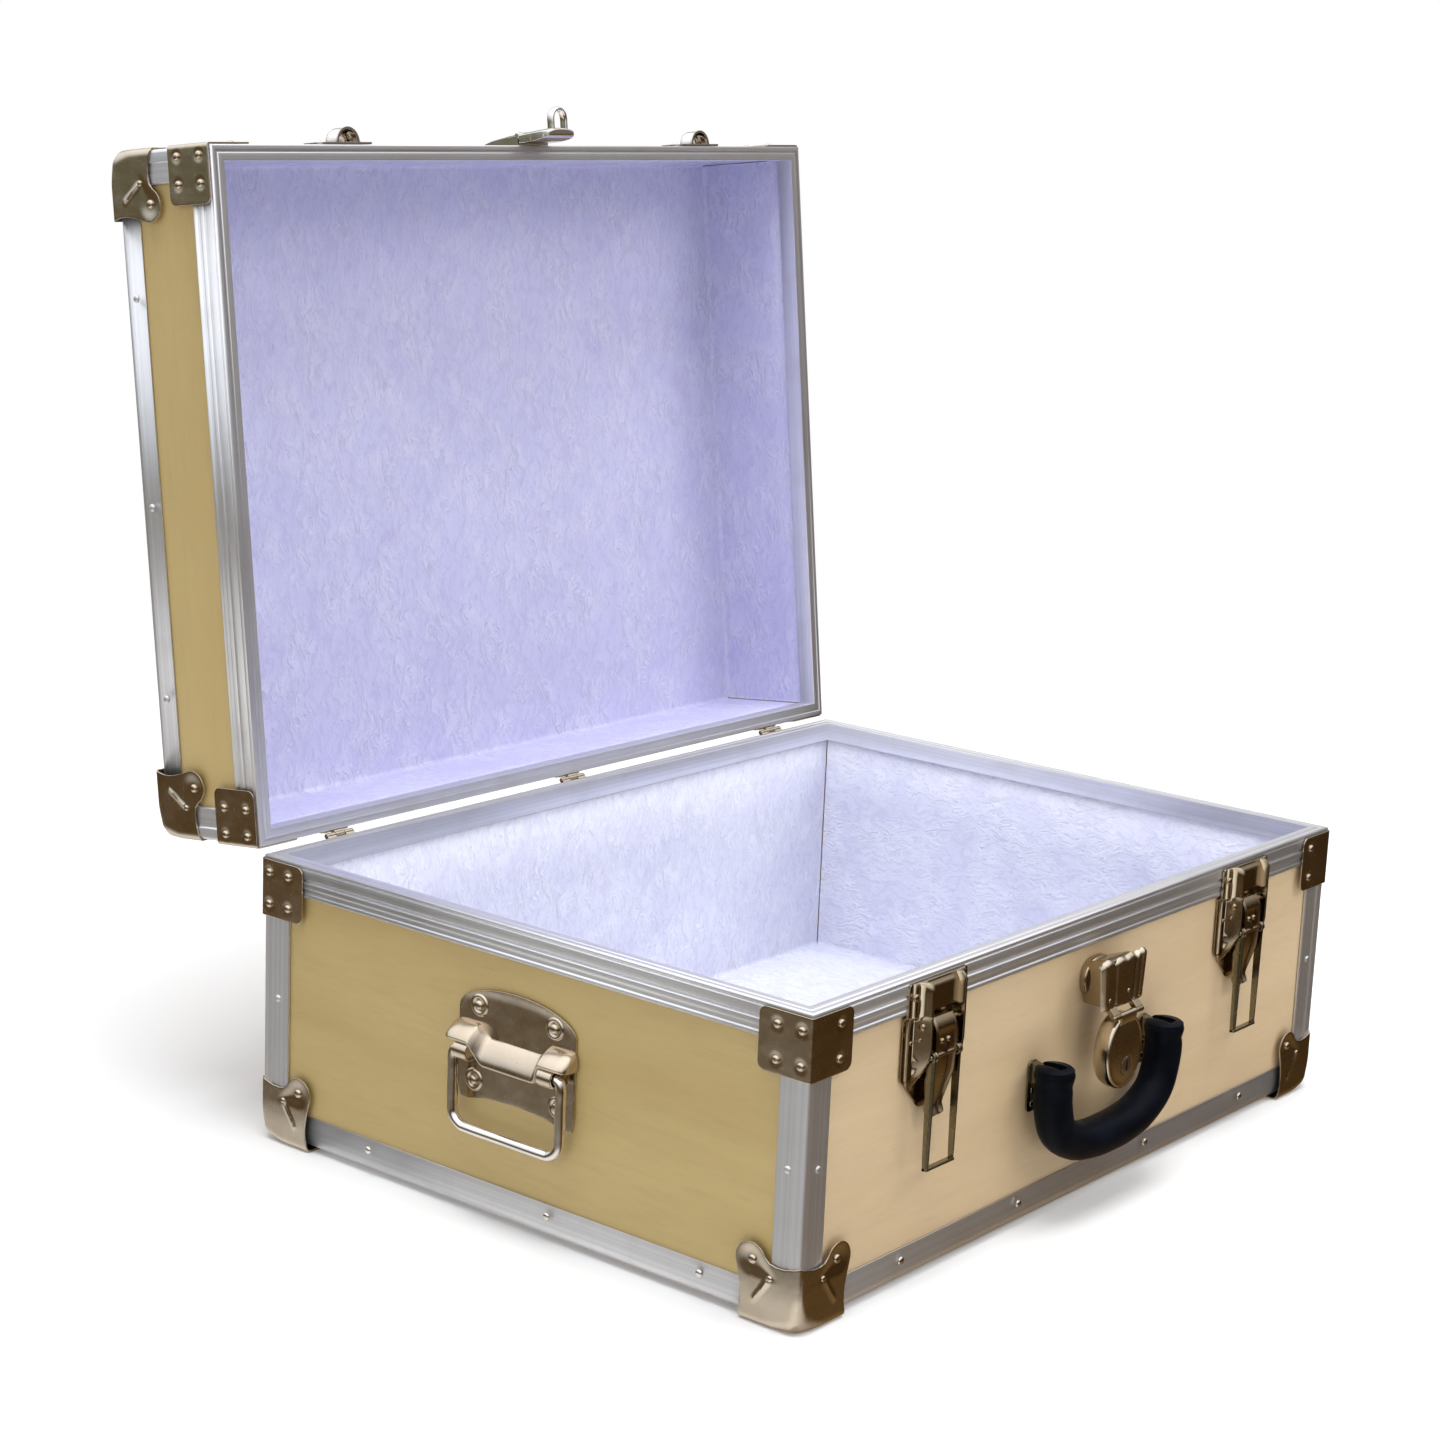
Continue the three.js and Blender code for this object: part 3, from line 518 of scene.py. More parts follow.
def veneer(name, pale, dark, lid, across):
    """Lacquered veneer: long soft figure, short fine pores and a satin coat."""
    shader = Shader(name, Coat_Weight=0.25, Coat_Roughness=0.3, IOR=1.45)
    rest = shader.place(rotation=(LID_OPEN if lid else 0, 0, 0))
    long_way = (9, 1.3, 9) if across else (1.3, 9, 9)
    figure = shader.noise(shader.place(long_way, source=rest), 1.6, 4, 0.55, 0.9)
    streaks = shader.noise(shader.place([8 * v for v in long_way], source=rest), 2.2, 5, 0.6, 0.2)
    fine = (1400, 55, 1400) if across else (55, 1400, 1400)
    pores = shader.noise(shader.place(fine, source=rest), 1.0, 2, 0.5)
    clouds = shader.noise(rest, 6.0, 2, 0.5)
    colour = shader.paint(
        pale,
        (shader.spread(figure, 0, 1, 0.33, 0.68), dark),
        (shader.spread(streaks, 0, 0.35, 0.5, 0.75), [0.9 * c for c in dark]),
        (shader.spread(pores, 0, 0.3, 0.6, 0.75), [0.72 * c for c in dark]),
        (shader.spread(clouds, 0, 0.3), [min(1, 1.08 * c) for c in pale]),
    )
    return shader.set(Base_Color=colour, Roughness=shader.spread(streaks, 0.36, 0.5),
                      Normal=shader.relief((pores, 0.12, 0.0003), (figure, 0.1, 0.001)))


def extruded_aluminium(name):
    """Satin anodised extrusion: fine die lines along its length, faint stains and scratches."""
    shader = Shader(name, Metallic=0.92)
    grain = shader.grain()
    lines = shader.noise(shader.place((3, 2600, 7), source=grain), 1.0, 3, 0.6)
    bands = shader.noise(shader.place((1.2, 420, 7), source=grain), 1.0, 2, 0.5)
    stains = shader.noise(shader.place(), 22.0, 4, 0.6)
    scratch = shader.noise(shader.place((260, 30, 9), (0, 0, 24), grain), 1.0, 5, 0.75, 0.6)
    marks = shader.spread(scratch, 0, 1, 0.66, 0.72)
    colour = shader.paint(
        (0.7, 0.71, 0.73),
        (shader.spread(bands, 0, 1), (0.82, 0.82, 0.84)),
        (shader.spread(stains, 0, 0.35, 0.5, 0.8), (0.53, 0.51, 0.5)),
        (shader.maths("MULTIPLY", marks, 0.25), (0.86, 0.86, 0.88)),
    )
    rough = shader.maths("ADD", shader.spread(lines, 0.36, 0.5), shader.spread(stains, -0.03, 0.06))
    return shader.set(Base_Color=colour, Roughness=rough,
                      Normal=shader.relief((lines, 0.14, 0.0002), (marks, 0.08, 0.0001)))


def plated(name, pale, dark, rough_low, rough_high, wave=0.35):
    """Nickel plate on pressed steel: slightly wavy from the press, hazed, scuffed, a little tarnished."""
    shader = Shader(name, Metallic=1.0)
    at = shader.place()
    haze = shader.noise(at, 55.0, 5, 0.6, 0.4)
    patches = shader.noise(at, 16.0, 3, 0.5, 0.6)
    pressed = shader.noise(at, 95.0, 1, 0.4)
    scuffs = shader.noise(shader.place((900, 70, 300), (18, 35, 12)), 1.0, 4, 0.7)
    marks = shader.spread(scuffs, 0, 1, 0.62, 0.7)
    specks = shader.spread(shader.noise(at, 900.0, 1), 0, 1, 0.72, 0.78)
    colour = shader.paint(
        pale,
        (shader.spread(patches, 0, 1), dark),
        (shader.maths("MULTIPLY", marks, 0.3), [min(1, 1.2 * c) for c in pale]),
        (shader.maths("MULTIPLY", specks, 0.5), [0.35 * c for c in dark]),
    )
    rough = shader.spread(haze, rough_low, rough_high)
    rough = shader.maths("ADD", rough, shader.maths("MULTIPLY", marks, 0.14))
    return shader.set(Base_Color=colour, Roughness=rough,
                      Normal=shader.relief((pressed, wave, 0.0004), (marks, 0.06, 0.0001)))


def strands(shader, at, angle, width, length, seed):
    """Fibre strands: thin ridges where a stretched, wandering noise passes its middle."""
    wander = shader.noise(shader.place((60, 60, 1), source=at), 1.0, 2)
    offset = shader.maths("MULTIPLY", wander, 4.0)
    vector = shader.place((1 / width, 1 / length, 1), (0, 0, angle), at)
    moved = shader.add("ShaderNodeCombineXYZ", {"X": offset, "Z": seed}).outputs["Vector"]
    shifted = shader.add("ShaderNodeVectorMath", {0: vector, 1: moved}, operation="ADD").outputs[0]
    value = shader.noise(shifted, 1.0, 1, 0.5)
    ridge = shader.maths("ABSOLUTE", shader.maths("SUBTRACT", value, 0.5))
    return shader.spread(ridge, 1, 0, 0.0, 0.075)


def embossed_paper(name, deep, pale, raised_highlight_tint):
    """Lilac lining paper embossed with long irregular strands, painted lighter on the raised strands and
    darker in the sunk ones.
    """
    shader = Shader(name, Sheen_Weight=0.15, Sheen_Roughness=0.4, Coat_Weight=0.12,
                    Coat_Roughness=0.35)
    at = shader.grain()
    raised = strands(shader, at, 8, 0.005, 0.025, 1.0)
    for crossing in ((-24, 0.0055, 0.022, 5.3), (38, 0.006, 0.02, 9.1)):
        raised = shader.maths("MAXIMUM", raised, strands(shader, at, *crossing))
    patchy = shader.noise(at, 30.0, 3)
    raised = shader.maths("MULTIPLY", raised, shader.spread(patchy, 0.1, 1.0, 0.38, 0.6))
    grooves = shader.maths("MULTIPLY", strands(shader, at, -14, 0.006, 0.02, 13.7),
                           shader.spread(patchy, 1.0, 0.0, 0.42, 0.56))
    pulp = shader.noise(at, 420.0, 4, 0.7)
    flecks = shader.spread(shader.noise(shader.place((420, 150, 1), (0, 0, -18), at), 1.0, 2),
                           0, 1, 0.62, 0.72)
    clouds = shader.noise(at, 9.0, 3)
    # Painted shade: a darker copy of the paper, laid in the sunk grooves and flecks; it also tints the pulp's
    # random mottling. The raised strands take a painted highlight.
    shaded = [0.72 * deep[0], 0.68 * deep[1], 0.8 * deep[2]]
    colour = shader.paint(
        deep,
        (shader.spread(clouds, 0, 1), pale),
        (shader.spread(pulp, 0, 0.16, 0.45, 0.75), shaded),
        (shader.maths("MULTIPLY", raised, 0.5), raised_highlight_tint),
        (shader.maths("MULTIPLY", grooves, 0.3), shaded),
        (shader.maths("MULTIPLY", flecks, 0.45), shaded),
    )
    sunk = shader.maths("ADD", flecks, grooves)
    normal = shader.relief((pulp, 0.35, 0.0006), (raised, 0.6, 0.0009), (sunk, -0.5, 0.0008))
    return shader.set(Base_Color=colour, Roughness=shader.spread(raised, 0.62, 0.46, 0, 1),
                      Normal=normal)


def black_vinyl(name):
    """Moulded black sleeve with a fine leather grain and a bluish sheen."""
    shader = Shader(name, Sheen_Weight=0.015, Sheen_Roughness=0.3, Specular_IOR_Level=0.07)
    at = shader.place()
    cells = shader.add("ShaderNodeTexVoronoi", {"Vector": at, "Scale": 900.0},
                       feature="DISTANCE_TO_EDGE").outputs["Distance"]
    creases = shader.spread(cells, 0, 1, 0.0, 0.12)
    rub_and_sheen = shader.noise(at, 35.0, 4, 0.6)
    wrinkles = shader.noise(shader.place((40, 40, 160)), 1.0, 2)
    # Random patches blend from near black to a dark navy: partly rubbing, partly a painted bluish sheen
    colour = shader.blend(shader.spread(rub_and_sheen, 0, 1), (0.0012, 0.0016, 0.003), (0.003, 0.005, 0.01))
    return shader.set(Base_Color=colour, Roughness=shader.spread(rub_and_sheen, 0.3, 0.5),
                      Sheen_Tint=(0.45, 0.6, 0.9, 1),
                      Normal=shader.relief((creases, 0.12, 0.0003), (wrinkles, 0.12, 0.0012)))


def turned_steel(name):
    """Lock plug face: rings left by the lathe."""
    shader = Shader(name, Metallic=1.0)
    at = shader.place()
    split = shader.add("ShaderNodeSeparateXYZ", {"Vector": at})
    drop = shader.maths("SUBTRACT", split.outputs["Z"], JOINTS["lock_plug_turn"]["pos_m"][2])
    squares = [shader.maths("POWER", side, 2) for side in (split.outputs["X"], drop)]
    reach = shader.maths("SQRT", shader.maths("ADD", *squares))
    rings = shader.add("ShaderNodeTexNoise", {"W": shader.maths("MULTIPLY", reach, 6000)},
                       noise_dimensions="1D").outputs["Fac"]
    colour = shader.blend(shader.spread(rings, 0, 1), (0.42, 0.4, 0.37), (0.62, 0.6, 0.56))
    return shader.set(Base_Color=colour, Roughness=shader.spread(rings, 0.2, 0.36),
                      Normal=shader.relief((rings, 0.2, 0.0001)))


WOOD_TONES_SHADED_SIDES = {  # pale and dark figure, by (is lid, is a side panel); the side panels' darker, yellower tones are painted shade
    (False, False): ((0.573, 0.43, 0.26), (0.49, 0.357, 0.205)),
    (False, True): ((0.45, 0.335, 0.14), (0.39, 0.28, 0.107)),
    (True, False): ((0.6, 0.45, 0.27), (0.51, 0.37, 0.215)),
    (True, True): ((0.515, 0.388, 0.172), (0.448, 0.325, 0.132)),
}
WOODS = {
    (lid, across): veneer(
        f"veneer_{'lid' if lid else 'base'}_{'side' if across else 'front'}", pale, dark, lid, across)
    for (lid, across), (pale, dark) in WOOD_TONES_SHADED_SIDES.items()
}
ALUMINIUM = extruded_aluminium("satin_extrusion")
NICKEL = plated("nickel_plate", (0.66, 0.575, 0.46), (0.53, 0.45, 0.345), 0.12, 0.24)
# A darker, browner copy of the nickel plate: a painted dark brown reflection, for parts that mirror dark
# surroundings
NICKEL_PAINTED_DARK_REFLECTION = plated("nickel_plate_painted_dark_reflection", (0.47, 0.385, 0.27), (0.34, 0.27, 0.175), 0.1, 0.22)
# A much darker copy of the nickel plate: painted shade, for parts that sit in shade
NICKEL_PAINTED_DEEP_SHADE = plated("nickel_plate_painted_deep_shade", (0.27, 0.25, 0.18), (0.2, 0.18, 0.12), 0.16, 0.3)
BRIGHT = plated("bright_nickel_plate", (0.84, 0.81, 0.76), (0.74, 0.7, 0.64), 0.07, 0.16, 0.2)
PAPERS = {
    "lid": embossed_paper("lilac_paper", (0.5, 0.49, 0.72), (0.56, 0.55, 0.77), (0.68, 0.68, 0.84)),
    # The base's lining is the same paper painted lighter: painted light, for the brighter light falling into
    # the base
    "base": embossed_paper("lilac_paper_painted_lighter", (0.63, 0.64, 0.775), (0.71, 0.72, 0.825), (0.85, 0.86, 0.915)),
}
VINYL = black_vinyl("black_vinyl_sleeve")
STEEL = turned_steel("turned_steel")


# ---------------------------------------------------------------- shell: panels and lining
def paint_panels():
    """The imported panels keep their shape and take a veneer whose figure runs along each."""
    for name, node in frame["nodes"].items():
        if "_wall_" in name or name in ("base_floor", "lid_top"):
            across = name.endswith(("left", "right"))
            node.data.materials.clear()
            node.data.materials.append(WOODS[name.startswith("lid"), across])


def lining_mesh(height):
    """Paper glued round the inside: a floor and four walls in one skin with soft folds."""
    half_x, half_y = PANEL_X - PLY - 0.15, PANEL_Y - PLY - 0.15
    floor, top = FLOOR_TOP + 0.15, height - 2.6
    fold = 3.5
    depth = top - floor
    bm = bmesh.new()
    grain = grain_layer(bm)

    def lines(half):
        inner = list(np.linspace(-half + fold, half - fold, 13))
        wall = list(np.linspace(depth, fold, 4))
        bend = [fold * math.tan(math.radians(a)) for a in (33.75, 22.5, 11.25)]
        outer = [half + w for w in wall] + [half + b for b in bend] + [half]
        near = [half - b for b in reversed(bend)]
        plus = sorted(set(round(v, 4) for v in outer + near + inner))
        return sorted(set([-v for v in plus if v > half - fold - 1e-6] + plus))

    def folded(a, half):
        over = abs(a) - half
        return (math.copysign(half, a), over) if over > 0 else (a, 0.0)

    def lift(a, b):
        x, up_x = folded(a, half_x)
        y, up_y = folded(b, half_y)
        point = Vector((x, y, floor + max(up_x, up_y)))
        centre = Vector((
            min(max(point.x, -half_x + fold), half_x - fold),
            min(max(point.y, -half_y + fold), half_y - fold),
            max(point.z, floor + fold),
        ))
        away = point - centre
        return centre + away.normalized() * fold if away.length > fold else point

    a_lines, b_lines = lines(half_x), lines(half_y)
    grid = {}
    for a in a_lines:
        for b in b_lines:
            if abs(a) <= half_x + 1e-6 or abs(b) <= half_y + 1e-6:
                grid[a, b] = bm.verts.new(lift(a, b))
    for a0, a1 in zip(a_lines, a_lines[1:]):
        for b0, b1 in zip(b_lines, b_lines[1:]):
            corners = [(a0, b0), (a1, b0), (a1, b1), (a0, b1)]
            if all(c in grid for c in corners):
                face = bm.faces.new([grid[c] for c in corners])
                for loop, (a, b) in zip(face.loops, corners):
                    loop[grain] = (a * MM, b * MM, 0)
    bmesh.ops.remove_doubles(bm, verts=bm.verts, dist=1e-3)
    bmesh.ops.recalc_face_normals(bm, faces=bm.faces)
    faces = list(bm.faces)
    if sum(f.normal.z * f.calc_area() for f in faces) < 0:
        bmesh.ops.reverse_faces(bm, faces=faces)
    return written(bm, "lining")


def add_lining(prefix, height):
    made = piece(lining_mesh(height), f"{prefix}_lining", prefix, PAPERS[prefix],
                 SHELLS[prefix], 0)
    paper = made.modifiers.new("paper", "SOLIDIFY")
    paper.thickness = 0.15 * MM
    paper.offset = -1


# ---------------------------------------------------------------- shell: extrusions
def dent(z, depth, half):
    """A drawn line in an extrusion's outer face."""
    return [(0, z - half), (depth, z), (0, z + half)]


def add_rim(prefix, height):
    """Rim: outer leg with two drawn lines, tongued top, inner leg down the lining."""
    inner = (EDGE_X - PANEL_X) + PLY + GAP
    profile = [
        (0, height - 3.6), (0.7, height - 3), (0, height - 2.4), (0, height - 0.8), (0.8, height),
        (3.4, height), (3.8, height - 0.55), (5.0, height - 0.55), (5.4, height),
        (inner + 1.5, height), (inner + 1.5, height - 14), (inner, height - 14),
        (inner, height - 2), (3, height - 2), (3, height - LEG_WIDTH),
        (0.9, height - LEG_WIDTH), (0, height - LEG_WIDTH + 0.9),
        (0, height - 19.2), (0.45, height - 18.4), (0.45, height - 15.6), (0, height - 14.8),
        *dent(height - 10.5, 1.2, 1.2),
    ]
    bm = bmesh.new()
    frame_ring(bm, fillet(profile, 0.45), EDGE_X, EDGE_Y)
    piece(to_mesh(bm, "rim"), f"{prefix}_rim_extrusion", prefix, ALUMINIUM,
          SHELLS[prefix], 0, nodes=[f"{prefix}_rim"])


EDGE_TOP = 24.0
EDGE_RIVET_Z, POST_RIVET_Z = 17.5, 98.0
FRONT_RIVETS = (-200, -75, 75, 200)
SIDE_RIVETS = {"base": (-150, -30, 124), "lid": (-131, -5, 130)}
POST_PLAN = [
    *arc(2.5, 2.5, 2.5, 180, 270, 4), (8, 0), (8.8, 0.8), (21.2, 0.8), (22, 1.6), (22, 3),
    (3, 3), (3, 22), (1.6, 22), (0.8, 21.2), (0.8, 8.8), (0, 8),
]


def add_edging(prefix):
    """Bottom edging, open at the corners where the pressed corners wrap it."""
    floor = EDGE_TOP - LEG_WIDTH - 0.5
    profile = [
        (2.6, floor), (22, floor), (22, floor + 2.5), (3, floor + 2.5), (3, EDGE_TOP),
        (1.3, EDGE_TOP), (0, EDGE_TOP - 1.5),
        *reversed(dent(13.4, 1.2, 1.3)), *reversed(dent(6.6, 1.2, 1.3)),
        (0, floor + 3.2), (0.35, floor + 1.6), (1.2, floor + 0.5),
    ]
    bm = bmesh.new()
    frame_ring(bm, fillet(profile, 0.5), EDGE_X, EDGE_Y)
    for vert in bm.verts:
        tuck_under_corner(vert)
    ring = to_mesh(bm, "edging")
    bm = bmesh.new()
    for turn in (1, -1):
        for x in FRONT_RIVETS:
            rivet(bm, (x * turn, -EDGE_Y * turn, EDGE_RIVET_Z), (0, -turn, 0))
        for y in SIDE_RIVETS[prefix]:
            rivet(bm, (-EDGE_X * turn, y, EDGE_RIVET_Z), (-turn, 0, 0))
    piece(to_mesh(bm, "edge_rivets"), f"{prefix}_edging_rivets", prefix,
          BRIGHT if prefix == "base" else ALUMINIUM, SHELLS[prefix], 0)
    piece(ring, f"{prefix}_edging_extrusion", prefix, ALUMINIUM, SHELLS[prefix], 0,
          nodes=[f"{prefix}_edging"])


def tuck_under_corner(vert):
    """Keeps the edging's mitre inside the rounded three-way corner."""
    near = Vector((HALF_W - abs(vert.co.x), HALF_D - abs(vert.co.y), vert.co.z))
    if max(near) < BALL_REACH:
        centre = Vector([max(v, BALL) for v in near])
        away = near - centre
        if away.length > BALL - 1.6:
            near = centre + away.normalized() * (BALL - 1.6)
            vert.co.x = math.copysign(HALF_W - near.x, vert.co.x)
            vert.co.y = math.copysign(HALF_D - near.y, vert.co.y)
            vert.co.z = near.z


def post_mesh(z0, z1, with_rivets):
    """Corner post of angle section, with a rivet in each leg on the base."""
    bm = bmesh.new()
    upright(bm, POST_PLAN, z0, z1)
    if with_rivets:
        rivet(bm, (0.8, 13, POST_RIVET_Z), (-1, 0, 0), 2.4, 1.3)
        rivet(bm, (13, 0.8, POST_RIVET_Z), (0, -1, 0), 2.4, 1.3)
    return to_mesh(bm, "post")


# ---------------------------------------------------------------- shell: pressed corners
EDGE_FOLD = 4.6  # radius of the plain fold away from the ball
EAR = [
    (0, 0), (45, 0), (44.2, 4), (42.8, 10), (42.6, 16), (43.8, 24), (45.4, 30),
    *arc(36.2, 38, 11, -20, 155, 13), (23, 39.6), (18, 38.6), (12, 38.9), (6, 40.4), (0, 42),
]
FOOT = [(0, 0), (45, 0), *arc(37, 37, 8, 0, 90, 6), (0, 45)]
EAR_RIVET, LOW_RIVET, RIB_END = (35.5, 38.5), (22, 30.5), (33, 15)


def pressed_height(u, v):
    """The ear's teardrop hollow, the cups round its rivets and the stiffening rib."""
    hollow = -1.0
    for i in range(11):
        t = i / 10
        reach = math.hypot(u - (19 + 17 * t), v - (31 + 7.5 * t))
        hollow = max(hollow, 2.5 + 8.2 * t - reach)
    height = -1.0 * smooth(hollow / 8.5)
    a, b = Vector(LOW_RIVET), Vector(RIB_END)
    along = min(max((Vector((u, v)) - a).dot(b - a) / (b - a).length_squared, 0.12), 1)
    off = (Vector((u, v)) - a.lerp(b, along)).length
    return height + 0.9 * smooth(1 - off / 2.2)


def folded(p, radius, push, axes=3):
    """Outer and inner point of a sheet folded round the edges that the first axes run across."""
    centre = Vector([max(c, radius) if i < axes else c for i, c in enumerate(p)])
    away = (p - centre).normalized()
    return centre + away * (radius + push), centre + away * (radius + push - SHEET)


def on_corner(p, push):
    radius = EDGE_FOLD + (BALL - EDGE_FOLD) * (1 - smooth(max(p) / BALL_REACH))
    return folded(p, radius, push)


def corner_mesh():
    """Three-way corner: two ears up the walls and a foot, riveted and ribbed."""
    bm = bmesh.new()
    add_sheet(bm, EAR, lambda u, v: on_corner(Vector((0, u, v)), pressed_height(u, v)), 1.5)
    add_sheet(bm, EAR, lambda u, v: on_corner(Vector((u, 0, v)), pressed_height(u, v)), 1.5)
    add_sheet(bm, FOOT, lambda u, v: on_corner(Vector((u, v, 0)), 0), 1.5)
    thicken(bm)
    for (u, v), radius in ((EAR_RIVET, 2.8), (LOW_RIVET, 1.9)):
        sunk = max(0, -pressed_height(u, v)) * 0.9
        rivet(bm, (sunk, u, v), (-1, 0, 0), radius, radius * 0.5)
        rivet(bm, (u, sunk, v), (0, -1, 0), radius, radius * 0.5)
    return to_mesh(bm, "corner")


LEG, LEG_RIVETS_V = 38.0, (8.5, 29.5)
LEG_OUTLINE = [
    (0, 0), *arc(LEG - 5, 5, 5, -90, 0, 5), *arc(LEG - 5, LEG - 5, 5, 0, 90, 5), (0, LEG),
]


def bracket_mesh(side_leg_on_x):
    """Rim bracket: an angle of sheet with two columns of rivets on one leg and one on the other."""
    wide, narrow = (7.5, 25), (27,)
    on_x, on_y = (wide, narrow) if side_leg_on_x else (narrow, wide)

    def dished(u, v, across):
        near = min(math.hypot(u - a, v - b) for a in across for b in LEG_RIVETS_V)
        return -0.28 * smooth(1 - (near - 2.6) / 2.6)

    def on_bracket(p, push):
        return folded(p, 2.4, push, axes=2)

    bm = bmesh.new()
    add_sheet(bm, LEG_OUTLINE, lambda u, v: on_bracket(Vector((0, u, v)), dished(u, v, on_x)), 1.2)
    add_sheet(bm, LEG_OUTLINE, lambda u, v: on_bracket(Vector((u, 0, v)), dished(u, v, on_y)), 1.2)
    thicken(bm)
    for v in LEG_RIVETS_V:
        for u in on_x:
            rivet(bm, (0.1, u, v), (-1, 0, 0))
        for u in on_y:
            rivet(bm, (u, 0.1, v), (0, -1, 0))
    return to_mesh(bm, "bracket")


CORNER_NAMES = {
    "base": ["front_left", "front_right", "back_right", "back_left"],
    "lid": ["back_left", "back_right", "front_right", "front_left"],
}


def add_shell(prefix, height, meshes):
    """One half of the case round its panels: rim, edging, posts, corners, brackets and lining."""
    add_rim(prefix, height)
    add_edging(prefix)
    add_lining(prefix, height)
    post_top = height - LEG_WIDTH - GAP
    if prefix == "base":
        post = post_mesh(EDGE_TOP + GAP, post_top, True)
    else:
        post = post_mesh(EDGE_TOP - 0.5, post_top, False)
    for q, (sx, sy) in enumerate(QUARTERS):
        label = f"{prefix}_{CORNER_NAMES[prefix][q]}"
        turn = Matrix.Rotation(q * math.pi / 2, 4, "Z")

        def at(x, y, z):
            return SHELLS[prefix] @ Matrix.Translation(Vector((x, y, z)) * MM) @ turn

        piece(meshes["corner"], f"{label}_pressed_corner", prefix, NICKEL,
              at(sx * HALF_W, sy * HALF_D, 0), 0.25, 40, [f"{label}_corner"])
        bracket = meshes["bracket"][q % 2]
        piece(bracket, f"{label}_rim_bracket", prefix, NICKEL,
              at(sx * HALF_W, sy * HALF_D, height - 2.4 - LEG), 0.25, 40, [f"{label}_bracket"])
        nodes = [f"{label}_post"] if prefix == "base" else []
        piece(post, f"{label}_corner_post", prefix, ALUMINIUM,
              at(sx * EDGE_X, sy * EDGE_Y, 0), 0.2, 35, nodes)


# ---------------------------------------------------------------- draw latches
# Tables by z hold the outline's stand-off or half width at that height.
LATCH_TOP = BASE_HEIGHT - 3
RIM_FACE = EDGE_Y - PANEL_Y  # stand-off of the rim's face from the panel
LEVER_PIN = (8.0, 163.0)  # (stand-off, z)
BAIL_PIN = (12.0, 144.0)
RAIL = [(126, 1.9), (131, 6), (142, 12.5), (150, 13.5), (186, 13.5), (188.4, 12.2), (190, 10)]
PLATE_HALF = [(110, 8.2), (110.6, 9.4), (130.4, 28.6), (132, 29), (LATCH_TOP - 1.5, 29), (LATCH_TOP, 27.5)]


def latch_plate_mesh():
    """Pressed plate: flange, stepped shoulder, rail, dark channel and the cover over the lever."""
    bm = bmesh.new()
    half_lines = [0, 4, 8, 11.7, 13.5, 15.1, 15.5, 15.9, 16.8, 17.3, 17.8, 19.2, 20.6, 21,
                  21.5, 22.6, 24.4, 24.9, 25.4, 27, 28.6, 29]
    across = [-v for v in reversed(half_lines)] + half_lines[1:]
    levels = [110, 110.6, 112, 114, 117, 121, 125, 128, 130.4, 132, 134, 138, 142, 146, 150, 155, 160,
              165, 167, 168.4, 169.6, 170.3, 170.8, 171.4, 174, 178, 182, 184.5, 186, 187.2, 188.4,
              189.3, LATCH_TOP]

    def foot(z):
        return 1.8 + 3.3 * smooth((z - 167.4) / 2.4)

    def height(x, z):
        x = abs(x)
        base = foot(z)
        rail = max(interpolate(RAIL, z), base)
        shoulder = base + 1.6 * smooth((z - 122) / 8) * smooth((LATCH_TOP + 1 - z) / 3)
        over_rim = smooth((z - 170.4) / 0.6)
        if x < 15.3:
            return base + 3.7 * over_rim * (1 - 0.6 * smooth((z - 186) / 3))
        if x < 17.5:
            return rail
        if x < 21.2:
            return rail + (shoulder - rail) * smooth((x - 17.3) / 3.7)
        return shoulder if x < 25.1 else base

    def surface(x, z):
        half = interpolate(PLATE_HALF, z)
        held = math.copysign(min(abs(x), half), x)
        back = GAP + (foot(z) - 1.8)
        return (held, -height(x, z), z), (held, -back, z)

    add_grid(bm, surface, across, levels)
    thicken(bm)
    for side in (-1, 1):
        rivet(bm, (23.8 * side, -foot(181.5) - 1.2, 181.5), (0, -1, 0), 2.6, 1.5)
        pin = (18.6 * side, -LEVER_PIN[0], LEVER_PIN[1])
        rivet(bm, pin, (side, 0, 0), 2.6, 1.7)
        for x, z in ((23, 153), (18.8, 155)):
            rivet(bm, (x * side, -foot(z) - (1.5 if x > 20 else 5.4), z), (0, -1, 0), 1.5, 1.1, 14)
    return to_mesh(bm, "latch_plate")


LEVER_FRONT = [
    (104, 8.0), (105.5, 8.8), (108, 7.7), (110.5, 6.9), (114, 7.9), (117, 8.9), (132, 12.8), (146, 13.8),
    (155, 13.6), (160, 13.0), (164, 11.2), (166.8, 9.0),
]
LEVER_HALF = [
    (104, 5.4), (104.6, 6.9), (105.8, 8.1), (107.5, 8.7), (110, 8.5), (115, 8.4), (130, 10.5),
    (167, 10.5),
]


